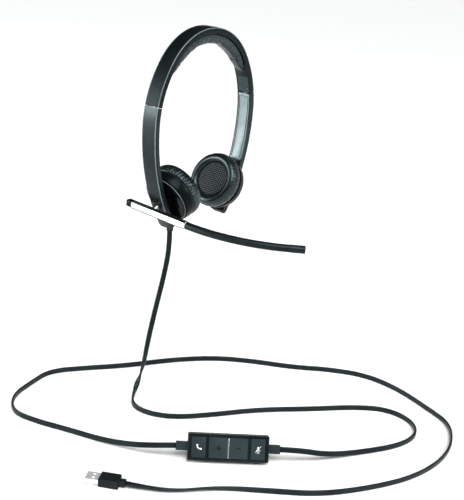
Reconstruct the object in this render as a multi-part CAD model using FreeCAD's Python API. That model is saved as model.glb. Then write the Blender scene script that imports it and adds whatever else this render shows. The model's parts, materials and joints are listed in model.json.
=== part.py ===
import FreeCAD
import Part
import math
import os

from FreeCAD import Placement, Rotation, Vector

# Office headset: a sprung headband, two sliding arms with swivelling ear cups, a microphone boom,
# and a flat lead with an in-line controller and a USB-A plug.
# Frame, in mm: +X to the wearer's left, -Y to the wearer's front, +Z up. The origin is the middle
# of the head space, between the two ear cushions. side -1 is the wearer's right, which has the
# boom and the lead; side +1 is the wearer's left.

# Hoop, seen from the front: a crown arc, a side arc and a flatter lower arc on each side, all
# tangent to each other. Radii are to the outer face.
HALF_WIDTH = 74.0
WIDEST_Z = 63.5
CROWN_R = 66.0
SIDE_R = 104.0
LOWER_R = 185.0
HOOP_T = 6.2
HOOP_HALF_Y = 8.5
SEAM_ANGLE = 11.3
SEAM_GAP = 0.3
ARM_END_ANGLE = -35.0

# Walls of the band and the arms.
OUTER_WALL = 1.6
SIDE_WALL = 1.6
LINER_T = 1.4

# Slide rails: spring steel strips, curved less than the hoop, so that the cups stay apart as the
# arms come out. Angles are on the side arc.
RAIL_R = 250.0
RAIL_MID_ANGLE = 17.4
RAIL_MID_DEPTH = 3.95
RAIL_LENGTH = 42.0
RAIL_ROOT = 7.0
RAIL_T = 1.2
RAIL_HALF_Y = 2.6

# Band pad.
PAD_T = 9.0
PAD_SHOULDER = 42.0
PAD_END_ANGLE = 24.5
PAD_HALF_Y = 7.6

# Ear cups. Depths run outwards along the cup's axis from the speaker mesh.
CUP_ANGLE = -26.0
MESH_R = 152.0
CUP_RADIUS = 27.4
CUSHION_HOLE = 17.6
DISC_RADIUS = 24.4
PIVOT_DEPTH = 25.6
BARREL_R = 2.7

# Microphone boom.
BOOM_AXIS_R = 193.0
BOOM_SLOPE = 2.3
BOOM_REAR = 32.5
BOOM_FRONT = 43.5
BOOM_W = 6.8
BOOM_H = 7.0
TUBE_D = 7.3
TUBE_BEND_R = 143.0
TUBE_BEND_ANGLE = 41.8
TIP_D = 7.6
TIP_LENGTH = 14.5

# Surface that the lead lies on.
FLOOR_Z = -210.0

# Controller on the lead, standing on a long edge and leaning back.
CTL_CENTRE = Vector(-109.0, -151.0, -196.82)
CTL_HEADING = -48.0
CTL_LEAN = 22.0
CTL_L = 74.0
CTL_T = 11.0
CTL_H = 24.0
CTL_WALL = 1.6
KEY_H = 19.6
END_KEY_L = 13.6
ROCKER_L = 36.0
KEY_MARGIN = 3.2
KEY_T = 2.0
KEY_PROUD = 0.5
KEY_CLEARANCE = 0.3
RELIEF_L = 10.5
RELIEF_H = 8.0
RELIEF_T = 5.5

# USB-A plug.
PLUG_CENTRE = Vector(-213.0, -105.0, FLOOR_Z)
PLUG_HEADING = -60.5
PLUG_L = 18.0
PLUG_W = 13.6
PLUG_H = 7.8
NECK_L = 5.0
SHELL_L = 12.0
SHELL_W = 12.0
SHELL_H = 4.5
SHELL_WALL = 0.3
SHELL_INSET = 4.0

# Lead. Its flat section is 5.2 x 2.2; the tube here has the same area of copper and sheath.
CORD_D = 3.8
LIE = FLOOR_Z + 2.6
UPPER_ROUTE = [
    (-39, -3, -45),
    (-39, -4, -62),
    (-45, -5, -88),
    (-57, -7, -120),
    (-68, -9, -152),
    (-75, -10, -183),
    (-88, -12, -203),
    (-104, -24, LIE),
    (-104, -48, LIE),
    (-89, -71, LIE),
    (-59, -92, LIE),
    (-18, -117, LIE),
    (22, -152, LIE),
    (60, -182, LIE),
    (80, -207, LIE),
    (79, -236, LIE),
    (60, -255, LIE),
    (28, -253, LIE),
    (-14, -231, -207),
    (-44, -216, -203),
    (-64, -201, -197),
]
LOWER_ROUTE = [
    (-153, -102, -198),
    (-163, -79, -203),
    (-171, -50, LIE),
    (-181, -16, LIE),
    (-192, 15, LIE),
    (-197, 45, LIE),
    (-176, 68, LIE),
    (-147, 76, LIE),
    (-116, 83, LIE),
    (-85, 64, LIE),
    (-47, 38, LIE),
    (-5, 17, LIE),
    (36, -12, LIE),
    (62, -46, LIE),
    (84, -85, LIE),
    (110, -116, LIE),
    (129, -152, LIE),
    (128, -193, LIE),
    (114, -236, LIE),
    (102, -268, LIE),
    (69, -288, LIE),
    (30, -295, LIE),
    (-14, -289, LIE),
    (-58, -269, LIE),
    (-96, -244, LIE),
    (-123, -211, LIE),
    (-151, -177, LIE),
    (-183, -152, LIE),
    (-198, -131, -207),
]

# Worked out from the sizes above.
SIDE_X = HALF_WIDTH - SIDE_R
LOWER_X = HALF_WIDTH - LOWER_R
CROWN_Z = WIDEST_Z + math.sqrt((SIDE_R - CROWN_R) ** 2 - SIDE_X ** 2)
JOIN_ANGLE = math.degrees(math.atan2(CROWN_Z - WIDEST_Z, -SIDE_X))
CAVITY_HALF_Y = HOOP_HALF_Y - SIDE_WALL
LINER_HALF_Y = CAVITY_HALF_Y - 0.1

os.makedirs("parts", exist_ok=True)


def save(name, shape):
    if not shape.isValid():
        raise ValueError(name + " is not a valid solid")
    shape.exportStep("parts/" + name + ".step")


def box(x0, x1, y0, y1, z0, z1):
    return Part.makeBox(x1 - x0, y1 - y0, z1 - z0, Vector(x0, y0, z0))


def rounded_box(x0, x1, y0, y1, z0, z1, radius, axis):
    """A box whose four edges along one axis ('x', 'y' or 'z') are rounded."""
    solid = box(x0, x1, y0, y1, z0, z1)
    direction = {"x": Vector(1, 0, 0), "y": Vector(0, 1, 0), "z": Vector(0, 0, 1)}[axis]
    edges = [e for e in solid.Edges if abs(e.tangentAt(e.FirstParameter).dot(direction)) > 0.99]
    return solid.makeFillet(radius, edges)


def softened_box(x0, x1, y0, y1, z0, z1, radius):
    """A box with all its edges rounded."""
    solid = box(x0, x1, y0, y1, z0, z1)
    return solid.makeFillet(radius, solid.Edges)


def cylinder(radius, start, end):
    return Part.makeCylinder(radius, (end - start).Length, start, end - start)


def arc_edge(side, centre_x, centre_z, radius, start, end):
    """An arc in the XZ plane. Angles are in degrees above the horizontal, outwards from centre."""
    points = []
    for angle in (start, (start + end) / 2, end):
        a = math.radians(angle)
        x = side * (centre_x + radius * math.cos(a))
        points.append(Vector(x, 0, centre_z + radius * math.sin(a)))
    return Part.Arc(*points).toShape()


def first_point(edge):
    return edge.valueAt(edge.FirstParameter)


def last_point(edge):
    return edge.valueAt(edge.LastParameter)


def strip(arcs, outer_depth, inner_depth, half_y):
    """A strip of the hoop between two depths below its outer face, centred on Y."""
    outer = [arc_edge(s, x, z, r - outer_depth, a, b) for s, x, z, r, a, b in arcs]
    inner = [arc_edge(s, x, z, r - inner_depth, a, b) for s, x, z, r, a, b in arcs]
    start = Part.makeLine(first_point(outer[0]), first_point(inner[0]))
    end = Part.makeLine(last_point(outer[-1]), last_point(inner[-1]))
    wire = Part.Wire(Part.__sortEdges__(outer + inner + [start, end]))
    face = Part.Face(wire)
    face.translate(Vector(0, -half_y, 0))
    return face.extrude(Vector(0, 2 * half_y, 0))


def side_arc(side, start, end):
    return (side, SIDE_X, WIDEST_Z, SIDE_R, start, end)


def lower_arc(side, start, end):
    return (side, LOWER_X, WIDEST_Z, LOWER_R, start, end)


def band_arcs(end_angle):
    """The hoop from end_angle on the right side, over the crown, to end_angle on the left."""
    return [
        side_arc(-1, end_angle, JOIN_ANGLE),
        (1, 0, CROWN_Z, CROWN_R, 180 - JOIN_ANGLE, JOIN_ANGLE),
        side_arc(1, JOIN_ANGLE, end_angle),
    ]


def arm_arcs(side, top, bottom):
    return [side_arc(side, top, 0), lower_arc(side, 0, bottom)]


def hoop_placement(side, angle):
    """Local Z runs outwards through the hoop at a side-arc angle, and local Z 0 is its outer face."""
    a = math.radians(angle)
    out = Vector(side * math.cos(a), 0, math.sin(a))
    along = Vector(-side * math.sin(a), 0, math.cos(a))
    centre = Vector(side * SIDE_X, 0, WIDEST_Z)
    return Placement(centre + out * SIDE_R, Rotation(along.cross(out), along, out, "ZYX"))


def cup_placement(side):
    """Local Z runs outwards along the cup's axis from the mesh, and local Y runs up the arm."""
    a = math.radians(CUP_ANGLE)
    out = Vector(side * math.cos(a), 0, math.sin(a))
    along = Vector(-side * math.sin(a), 0, math.cos(a))
    centre = Vector(side * LOWER_X, 0, WIDEST_Z)
    return Placement(centre + out * MESH_R, Rotation(along.cross(out), along, out, "ZYX"))


def placed(shape, placement):
    return shape.transformed(placement.toMatrix())


def turned(points):
    """A solid turned about local Z from (radius, depth) corners."""
    corners = [Vector(r, 0, d) for r, d in points]
    face = Part.Face(Part.makePolygon(corners + [corners[0]]))
    return face.revolve(Vector(0, 0, 0), Vector(0, 0, 1), 360)


def depth_of(radius):
    """Depth on the cup's axis of a given distance from the lower arc's centre."""
    return radius - MESH_R


# ---- Headband: outer shell, spring steel, liner, pad, end covers and their screws ----

SCREW_ANGLE = SEAM_ANGLE + 2.2
SCREW_Y = 4.7
BOSS_R = 1.6
SCREW_R = 0.7
HEAD_R = 1.3
COVER_TOP = 21.5
SPRING_END = 31.0


def end_screws(side):
    screws = []
    for y in (-SCREW_Y, SCREW_Y):
        shank = Part.makeCylinder(SCREW_R, 3.0, Vector(y, 0, -5.4))
        head = Part.makeCylinder(HEAD_R, 0.6, Vector(y, 0, -6.0))
        screws.append(placed(shank.fuse(head), hoop_placement(side, SCREW_ANGLE)))
    return screws


def end_bosses(side):
    bosses = []
    for y in (-SCREW_Y, SCREW_Y):
        boss = Part.makeCylinder(BOSS_R, 3.5, Vector(y, 0, -HOOP_T + LINER_T))
        bosses.append(placed(boss, hoop_placement(side, SCREW_ANGLE)))
    return bosses


band_outer = strip(band_arcs(SEAM_ANGLE), 0, HOOP_T, HOOP_HALF_Y)
band_outer = band_outer.cut(strip(band_arcs(SEAM_ANGLE - 1), OUTER_WALL, HOOP_T + 1, CAVITY_HALF_Y))
screws = end_screws(-1) + end_screws(1)
band_outer = band_outer.fuse(end_bosses(-1) + end_bosses(1))
band_outer = band_outer.cut(screws)
save("band_outer", band_outer)
save("end_cover_screws", Part.makeCompound(screws))
save("band_spring", strip(band_arcs(SPRING_END), 2.6, 3.4, 5.0))
save("band_liner", strip(band_arcs(COVER_TOP + 0.1), HOOP_T - LINER_T, HOOP_T, LINER_HALF_Y))
for side, name in ((-1, "right_end_cover"), (1, "left_end_cover")):
    cover = strip([side_arc(side, SEAM_ANGLE, COVER_TOP)], HOOP_T - LINER_T, HOOP_T, LINER_HALF_Y)
    save(name, cover.cut(screws))


def pad_outline():
    """The pad follows the liner outside. Inside, it is even over the crown and tapers to its ends."""
    outer = [arc_edge(s, x, z, r - HOOP_T, a, b) for s, x, z, r, a, b in band_arcs(PAD_END_ANGLE)]
    shoulder = 90 - PAD_SHOULDER
    inner = arc_edge(1, 0, CROWN_Z, CROWN_R - HOOP_T - PAD_T, 180 - shoulder, shoulder)
    right = Part.makeLine(first_point(outer[0]), first_point(inner))
    left = Part.makeLine(last_point(inner), last_point(outer[-1]))
    return Part.Wire(Part.__sortEdges__(outer + [inner, right, left]))


pad_face = Part.Face(pad_outline())
pad_face.translate(Vector(0, -PAD_HALF_Y, 0))
save("band_cushion", pad_face.extrude(Vector(0, 2 * PAD_HALF_Y, 0)))


# ---- Arms: shell, inner panel, pivot cover, foot cap and slide rail ----

PANEL_TOP = SEAM_ANGLE - 1.0
PANEL_END = -16.5
COVER_START = -16.7
FOOT_START = -31.6
CAVITY_END = FOOT_START + 0.5
LIP_START = -34.3
LIP_T = 1.4
WINDOW_X = 6.0
WINDOW_Y = 4.7
TRUNNION_R = 1.2
TRUNNION_END = 6.8
BUSH_R = 5.2
HUB_R = 2.6
HUB_CLEARANCE = 0.06


def arm_shell(side):
    shell = strip(arm_arcs(side, SEAM_ANGLE - SEAM_GAP, FOOT_START), 0, HOOP_T, HOOP_HALF_Y)
    cavity = strip(arm_arcs(side, SEAM_ANGLE + 1, CAVITY_END), OUTER_WALL, HOOP_T + 1, CAVITY_HALF_Y)
    return shell.cut(cavity)


def pivot_cover(side):
    """The lower inner cover. Two ears hold the swivel barrel's trunnions in a window."""
    cover = strip([lower_arc(side, COVER_START, CAVITY_END)], HOOP_T - LINER_T, HOOP_T, LINER_HALF_Y)
    low = depth_of(LOWER_R - HOOP_T) - 3.2
    high = depth_of(LOWER_R - HOOP_T) + LINER_T
    window = box(-WINDOW_X, WINDOW_X, -WINDOW_Y, WINDOW_Y, low, high + 1)
    cover = cover.cut(placed(window, cup_placement(side)))
    ears = []
    for direction in (-1, 1):
        start, end = sorted((direction * WINDOW_Y, direction * (TRUNNION_END + 0.6)))
        ears.append(placed(box(-2.4, 2.4, start, end, low, high - 0.2), cup_placement(side)))
    cover = cover.fuse(ears)
    reach = TRUNNION_END + 0.1
    bore = cylinder(TRUNNION_R + 0.05, Vector(0, -reach, PIVOT_DEPTH), Vector(0, reach, PIVOT_DEPTH))
    return cover.cut(placed(bore, cup_placement(side)))


def is_end_corner(edge, side):
    """True for the two short edges across the thickness at the very end of the arm."""
    a = math.radians(ARM_END_ANGLE)
    out = Vector(side * math.cos(a), 0, math.sin(a))
    down = Vector(side * math.sin(a), 0, -math.cos(a))
    middle = edge.valueAt((edge.FirstParameter + edge.LastParameter) / 2)
    end_point = Vector(side * (LOWER_X + LOWER_R * math.cos(a)), 0, WIDEST_Z + LOWER_R * math.sin(a))
    at_end = abs((middle - end_point).dot(down)) < 0.05
    at_side = abs(abs(middle.y) - HOOP_HALF_Y) < 0.05
    return at_end and at_side and abs(edge.tangentAt(edge.FirstParameter).dot(out)) > 0.99


def foot_cap(side):
    """The arm's closed end. An inner lip below the cup makes it a hook."""
    cap = strip([lower_arc(side, FOOT_START, ARM_END_ANGLE)], 0, HOOP_T, HOOP_HALF_Y)
    lip = strip([lower_arc(side, LIP_START, ARM_END_ANGLE)], HOOP_T, HOOP_T + LIP_T, HOOP_HALF_Y - 1.5)
    cap = cap.fuse(lip).removeSplitter()
    corners = [e for e in cap.Edges if is_end_corner(e, side)]
    return cap.makeFillet(3.2, corners)


def slide_rail(side):
    """A curved rail with a wide root in the arm. It runs up inside the band's end."""
    middle = math.radians(RAIL_MID_ANGLE)
    back = SIDE_R - RAIL_MID_DEPTH - RAIL_R
    x = SIDE_X + back * math.cos(middle)
    z = WIDEST_Z + back * math.sin(middle)
    half_turn = math.degrees(RAIL_LENGTH / 2 / RAIL_R)
    low = RAIL_MID_ANGLE - half_turn
    root_top = low + math.degrees(RAIL_ROOT / RAIL_R)
    blade = [(side, x, z, RAIL_R, low, RAIL_MID_ANGLE + half_turn)]
    root = [(side, x, z, RAIL_R, low, root_top)]
    rail = strip(blade, -RAIL_T / 2, RAIL_T / 2, RAIL_HALF_Y)
    return rail.fuse(strip(root, -RAIL_T / 2, RAIL_T / 2, CAVITY_HALF_Y - 0.2)).removeSplitter()


BOOT = rounded_box(-41.0, -37.0, -6.4, 0.4, -45.0, -37.5, 1.4, "z")
boom_frame = cup_placement(-1)
shell_hole = Part.makeCylinder(BUSH_R, 6, Vector(0, 0, depth_of(LOWER_R) - 2.5))
for side, name in ((-1, "right"), (1, "left")):
    shell = arm_shell(side)
    foot = foot_cap(side)
    if side < 0:
        shell = shell.cut(placed(shell_hole, boom_frame))
        foot = foot.cut(BOOT)
    save(name + "_arm_shell", shell)
    panel = strip(arm_arcs(side, PANEL_TOP, PANEL_END), HOOP_T - LINER_T, HOOP_T, LINER_HALF_Y)
    save(name + "_arm_panel", panel)
    save(name + "_pivot_cover", pivot_cover(side))
    save(name + "_foot_cap", foot)
    save(name + "_slide_rail", slide_rail(side))
save("cord_boot", BOOT)


# ---- Ear cups: cushion, mesh, baffle, driver, housing, disc and swivel ----

CUSHION_BACK = 10.0
BAFFLE_BACK = 11.8
HOUSING_BACK = 20.4
DISC_BACK = 21.4
LUG_X0 = 3.1
LUG_X1 = 4.9
LUG_HALF_Y = 2.4
PIN_R = 0.9
PIN_HALF = 4.9


def cushion_profile():
    """Half section of the ear cushion: an inner lip, a rolled front and a bulging side."""
    lip = Vector(CUSHION_HOLE, 0, 0.6)
    shoulder = Vector(26.2, 0, -0.6)
    back = Vector(26.2, 0, CUSHION_BACK)
    base = Vector(CUSHION_HOLE, 0, CUSHION_BACK)
    front_roll = Part.Arc(lip, Vector(22.0, 0, -3.2), shoulder).toShape()
    side_bulge = Part.Arc(shoulder, Vector(CUP_RADIUS, 0, 4.6), back).toShape()
    return Part.Wire([front_roll, side_bulge, Part.makeLine(back, base), Part.makeLine(base, lip)])


def cup_housing():
    """A shallow bowl with a tapered rim. Two lugs on its back hold the tilt pin."""
    outside = [(0, HOUSING_BACK), (24.9, HOUSING_BACK), (26.0, 19.4), (27.4, 12.6), (27.4, BAFFLE_BACK)]
    inside = [(25.8, BAFFLE_BACK), (24.6, 18.8), (0, 18.8)]
    bowl = turned(outside + inside)
    for sign in (-1, 1):
        start, end = sorted((sign * LUG_X0, sign * LUG_X1))
        lug = box(start, end, -LUG_HALF_Y, LUG_HALF_Y, HOUSING_BACK - 0.5, PIVOT_DEPTH)
        knuckle = cylinder(LUG_HALF_Y, Vector(start, 0, PIVOT_DEPTH), Vector(end, 0, PIVOT_DEPTH))
        bowl = bowl.fuse([lug, knuckle])
    bore = cylinder(PIN_R + 0.05, Vector(-9, 0, PIVOT_DEPTH), Vector(9, 0, PIVOT_DEPTH))
    return bowl.cut(bore).removeSplitter()


def cup_disc():
    rim = DISC_RADIUS - 0.5
    disc = turned([(0, HOUSING_BACK), (DISC_RADIUS, HOUSING_BACK), (rim, DISC_BACK), (0, DISC_BACK)])
    slot = LUG_HALF_Y + 0.2
    for sign in (-1, 1):
        start, end = sorted((sign * (LUG_X0 - 0.2), sign * (LUG_X1 + 0.2)))
        disc = disc.cut(box(start, end, -slot, slot, HOUSING_BACK - 1, DISC_BACK + 1))
    return disc


def driver_frame():
    """The driver's basket: a flange on the baffle and a stepped can behind it."""
    return turned([(9.0, 9.0), (12.0, 8.4), (17.2, 8.4), (17.2, CUSHION_BACK), (15.3, CUSHION_BACK),
                   (15.3, 14.0), (9.0, 15.0)])


def swivel_barrel():
    """A barrel that turns in the arm on its trunnions, and carries the tilt pin across it."""
    barrel = cylinder(BARREL_R, Vector(0, -4.4, PIVOT_DEPTH), Vector(0, 4.4, PIVOT_DEPTH))
    reach = Vector(0, TRUNNION_END, 0)
    centre = Vector(0, 0, PIVOT_DEPTH)
    return barrel.fuse(cylinder(TRUNNION_R, centre - reach, centre + reach))


tilt_pin = cylinder(PIN_R, Vector(-PIN_HALF, 0, PIVOT_DEPTH), Vector(PIN_HALF, 0, PIVOT_DEPTH))
cushion = Part.Face(cushion_profile()).revolve(Vector(0, 0, 0), Vector(0, 0, 1), 360)
baffle = turned([(15.5, CUSHION_BACK), (26.6, CUSHION_BACK), (26.6, BAFFLE_BACK), (15.5, BAFFLE_BACK)])
mesh_r = CUSHION_HOLE - 0.1
cup_parts = {
    "ear_cushion": cushion,
    "speaker_mesh": turned([(0, -0.2), (9, 0), (mesh_r, 0.8), (mesh_r, 1.6), (0, 0.8)]),
    "speaker_baffle": baffle,
    "driver_frame": driver_frame(),
    "driver_magnet": turned([(0, 10.6), (8.9, 10.6), (8.9, 16.6), (0, 16.6)]),
    "cup_housing": cup_housing(),
    "cup_disc": cup_disc(),
    "swivel_barrel": swivel_barrel().cut(tilt_pin),
    "tilt_pin": tilt_pin,
}
for side, name in ((-1, "right"), (1, "left")):
    for part, shape in cup_parts.items():
        save(name + "_" + part, placed(shape, cup_placement(side)))


# ---- Microphone boom ----

HUB_HEAD_R = 4.2
HUB_END = depth_of(BOOM_AXIS_R) - 1.6
TRIM_T = 0.5
TRIM_HALF_H = 2.8
CAP_L = 6.8


def boom_placement():
    """Local X runs forwards along the boom, local Y inwards and local Z up, from the hub's axis."""
    a = math.radians(CUP_ANGLE)
    origin = Vector(-(LOWER_X + BOOM_AXIS_R * math.cos(a)), 0, WIDEST_Z + BOOM_AXIS_R * math.sin(a))
    s = math.radians(BOOM_SLOPE)
    forward = Vector(0, -math.cos(s), -math.sin(s))
    up = Vector(0, -math.sin(s), math.cos(s))
    return Placement(origin, Rotation(forward, up.cross(forward), up, "XZY"))


BOOM = boom_placement()
bush_back = depth_of(LOWER_R) - OUTER_WALL
bush = turned([(HUB_R + HUB_CLEARANCE, bush_back), (BUSH_R, bush_back), (BUSH_R, bush_back + 2.0),
               (BUSH_R - 0.8, bush_back + 2.4), (HUB_R + HUB_CLEARANCE, bush_back + 2.4)])
save("boom_bush", placed(bush, boom_frame))
hub = turned([(0, bush_back - 1.4), (HUB_HEAD_R, bush_back - 1.4), (HUB_HEAD_R, bush_back - 0.2),
              (HUB_R, bush_back - 0.2), (HUB_R, HUB_END), (0, HUB_END)])
hub = placed(hub, boom_frame)

half_w = BOOM_W / 2
half_h = BOOM_H / 2
carrier = rounded_box(-BOOM_REAR + CAP_L, BOOM_FRONT, -half_w, half_w, -half_h, half_h, 1.6, "x")
trim_bed = box(-BOOM_REAR, BOOM_FRONT + 1, -half_w - 1, -half_w + TRIM_T, -TRIM_HALF_H, TRIM_HALF_H)
carrier = placed(carrier.cut(trim_bed), BOOM).cut(hub)
trim = box(-BOOM_REAR + CAP_L, BOOM_FRONT, -half_w - 0.1, -half_w + TRIM_T, -TRIM_HALF_H, TRIM_HALF_H)
end_cap = rounded_box(-BOOM_REAR, -BOOM_REAR + CAP_L, -half_w, half_w, -half_h, half_h, 1.6, "x")
save("boom_hub", hub)
save("boom_carrier", carrier)
save("boom_trim", placed(trim, BOOM))
save("boom_end_cap", placed(end_cap, BOOM))

tube_face = Part.Face(Part.Wire(Part.makeCircle(TUBE_D / 2, Vector(BOOM_FRONT, 0, 0), Vector(1, 0, 0))))
bend_centre = Vector(BOOM_FRONT, TUBE_BEND_R, 0)
tube = tube_face.revolve(bend_centre, Vector(0, 0, 1), TUBE_BEND_ANGLE)
save("boom_tube", placed(tube, BOOM))

bend = math.radians(TUBE_BEND_ANGLE)
tip_start = Vector(BOOM_FRONT + TUBE_BEND_R * math.sin(bend), TUBE_BEND_R * (1 - math.cos(bend)), 0)
tip_direction = Vector(math.cos(bend), math.sin(bend), 0)
inward = Vector(-math.sin(bend), math.cos(bend), 0)
tip = cylinder(TIP_D / 2, tip_start, tip_start + tip_direction * TIP_LENGTH)
capsule_centre = tip_start + tip_direction * (TIP_LENGTH - 4.5)
capsule = cylinder(2.0, capsule_centre + inward * 0.4, capsule_centre + inward * 3.0)
port = cylinder(1.0, capsule_centre + inward * 2.5, capsule_centre + inward * 5.0)
tip = tip.cut([capsule, port])
save("mic_tip", placed(tip, BOOM))
save("mic_capsule", placed(capsule, BOOM))


# ---- Controller on the lead ----

def controller_placement():
    """Local X runs along the controller, local -Y out of its key face and local Z up it."""
    heading = Rotation(Vector(0, 0, 1), CTL_HEADING)
    lean = Rotation(Vector(1, 0, 0), -CTL_LEAN)
    return Placement(CTL_CENTRE, heading * lean)


CTL = controller_placement()
half_l = CTL_L / 2
half_t = CTL_T / 2
half_ch = CTL_H / 2
FACE_WALL = 1.8
PARTING = 0.5
ROD_R = 0.6
ROCKER_PIVOT_Y = -half_t + FACE_WALL + ROD_R + 0.1
call_x0 = -half_l + KEY_MARGIN
mute_x0 = half_l - KEY_MARGIN - END_KEY_L
KEYS = {
    "call_key": (call_x0, call_x0 + END_KEY_L),
    "volume_rocker": (-ROCKER_L / 2, ROCKER_L / 2),
    "mute_key": (mute_x0, mute_x0 + END_KEY_L),
}


def casing():
    solid = box(-half_l, half_l, -half_t, half_t, -half_ch, half_ch)
    ends = [e for e in solid.Edges if abs(e.tangentAt(e.FirstParameter).y) > 0.99]
    solid = solid.makeFillet(1.2, ends)
    rims = [e for e in solid.Edges if abs(e.CenterOfMass.y) > half_t - 0.01]
    solid = solid.makeChamfer(0.9, rims)
    hollow = rounded_box(-half_l + CTL_WALL, half_l - CTL_WALL, -half_t + FACE_WALL, half_t - CTL_WALL,
                         -half_ch + CTL_WALL, half_ch - CTL_WALL, 0.6, "y")
    return solid.cut(hollow)


case = casing()
front = case.common(box(-40, 40, -10, PARTING, -20, 20))
back = case.common(box(-40, 40, PARTING, 10, -20, 20))
for x0, x1 in KEYS.values():
    front = front.cut(rounded_box(x0, x1, -8, -half_t + FACE_WALL + 0.1, -KEY_H / 2, KEY_H / 2, 0.8, "y"))
save("controller_front", placed(front, CTL))
save("controller_back", placed(back, CTL))

BOARD_Y = 1.6
board = box(-33.5, 33.5, BOARD_Y, BOARD_Y + 1.0, -9.0, 9.0)
save("controller_board", placed(board, CTL))
SWITCH_TOP = BOARD_Y - 2.4
switch_centres = [call_x0 + END_KEY_L / 2, -ROCKER_L / 4, ROCKER_L / 4, mute_x0 + END_KEY_L / 2]
switches = []
for x in switch_centres:
    body = box(x - 2.2, x + 2.2, SWITCH_TOP + 0.6, BOARD_Y, -2.2, 2.2)
    plunger = cylinder(1.2, Vector(x, SWITCH_TOP, 0), Vector(x, SWITCH_TOP + 1.0, 0))
    switches.append(placed(body.fuse(plunger), CTL))
save("key_switches", Part.makeCompound(switches))


def key(x0, x1):
    """A key cap that stands a little proud of the casing."""
    g = KEY_CLEARANCE
    top = -half_t - KEY_PROUD
    cap = rounded_box(x0 + g, x1 - g, top, top + KEY_T, -KEY_H / 2 + g, KEY_H / 2 - g, 0.6, "y")
    rims = [e for e in cap.Edges if abs(e.CenterOfMass.y - top) < 0.01]
    return cap.makeChamfer(0.35, rims)


def stem(x):
    return cylinder(1.4, Vector(x, -half_t - KEY_PROUD + KEY_T, 0), Vector(x, SWITCH_TOP - 0.6, 0))


groove = box(-0.5, 0.5, -half_t - KEY_PROUD - 1, -half_t - KEY_PROUD + 0.5, -KEY_H, KEY_H)
divider = box(-0.5, 0.5, -half_t - KEY_PROUD, -half_t - KEY_PROUD + 0.5, -KEY_H / 2 + 0.7, KEY_H / 2 - 0.7)
call_key = key(*KEYS["call_key"]).fuse(stem(switch_centres[0]))
rocker = key(*KEYS["volume_rocker"]).cut(groove)
rocker = rocker.fuse([stem(switch_centres[1]), stem(switch_centres[2])])
# The rocker turns on a rod whose ends sit behind the casing's rim.
rod_end = Vector(0, 0, KEY_H / 2 + 0.4)
rod_centre = Vector(0, ROCKER_PIVOT_Y, 0)
web = box(-ROD_R, ROD_R, -half_t - KEY_PROUD + KEY_T - 0.2, ROCKER_PIVOT_Y, -8, 8)
rocker = rocker.fuse([web, cylinder(ROD_R, rod_centre - rod_end, rod_centre + rod_end)])
mute_key = key(*KEYS["mute_key"]).fuse(stem(switch_centres[3]))
save("call_key", placed(call_key, CTL))
save("volume_rocker", placed(rocker, CTL))
save("volume_divider", placed(divider, CTL))
save("mute_key", placed(mute_key, CTL))


def relief(sign):
    """A short rectangular strain relief with two locking dimples by the casing."""
    x0, x1 = sorted((sign * half_l, sign * (half_l + RELIEF_L)))
    body = rounded_box(x0, x1, -RELIEF_T / 2, RELIEF_T / 2, -RELIEF_H / 2, RELIEF_H / 2, 1.0, "x")
    for z in (-1.6, 1.6):
        x = sign * (half_l + 2.2)
        body = body.cut(cylinder(0.7, Vector(x, -RELIEF_T, z), Vector(x, -RELIEF_T / 2 + 0.8, z)))
    return placed(body, CTL)


save("relief_headset_end", relief(1))
save("relief_plug_end", relief(-1))


# ---- USB-A plug ----

PLUG = Placement(PLUG_CENTRE, Rotation(Vector(0, 0, 1), PLUG_HEADING))
mid_h = PLUG_H / 2
half_pl = PLUG_L / 2
over = softened_box(-half_pl, half_pl, -PLUG_W / 2, PLUG_W / 2, 0, PLUG_H, 1.0)
neck = rounded_box(half_pl - 1.5, half_pl + NECK_L, -3.4, 3.4, mid_h - 2.4, mid_h + 2.4, 1.0, "x")
shell_outer = box(-half_pl - SHELL_L, -half_pl + SHELL_INSET, -SHELL_W / 2, SHELL_W / 2,
                  mid_h - SHELL_H / 2, mid_h + SHELL_H / 2)
shell_outer = shell_outer.makeFillet(0.5, [e for e in shell_outer.Edges if abs(e.tangentAt(0).x) > 0.99])
w = SHELL_WALL
shell_hollow = box(-half_pl - SHELL_L - 1, -half_pl + SHELL_INSET - w, -SHELL_W / 2 + w, SHELL_W / 2 - w,
                   mid_h - SHELL_H / 2 + w, mid_h + SHELL_H / 2 - w)
usb_shell = shell_outer.cut(shell_hollow)
for y in (-2.6, 2.6):
    usb_shell = usb_shell.cut(box(-half_pl - 6.4, -half_pl - 4.1, y - 1.15, y + 1.15, -1, PLUG_H + 1))
tongue_top = mid_h + SHELL_H / 2 - w
tongue = box(-half_pl - SHELL_L + 0.8, -half_pl + SHELL_INSET - w, -SHELL_W / 2 + w, SHELL_W / 2 - w,
             tongue_top - 1.9, tongue_top)
contacts = []
for y in (-3.5, -1.0, 1.0, 3.5):
    low = tongue_top - 2.0
    contacts.append(box(-half_pl - SHELL_L + 1.6, -half_pl - 2, y - 0.5, y + 0.5, low, low + 0.3))
tongue = tongue.cut(contacts)
save("plug_overmould", placed(over.fuse(neck).removeSplitter().cut(shell_outer), PLUG))
save("plug_shell", placed(usb_shell, PLUG))
save("plug_tongue", placed(tongue, PLUG))
save("plug_contacts", Part.makeCompound([placed(c, PLUG) for c in contacts]))


# ---- Lead: two tubes of straight runs and tangent arcs ----

ARC_SHARE = 0.45


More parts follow.
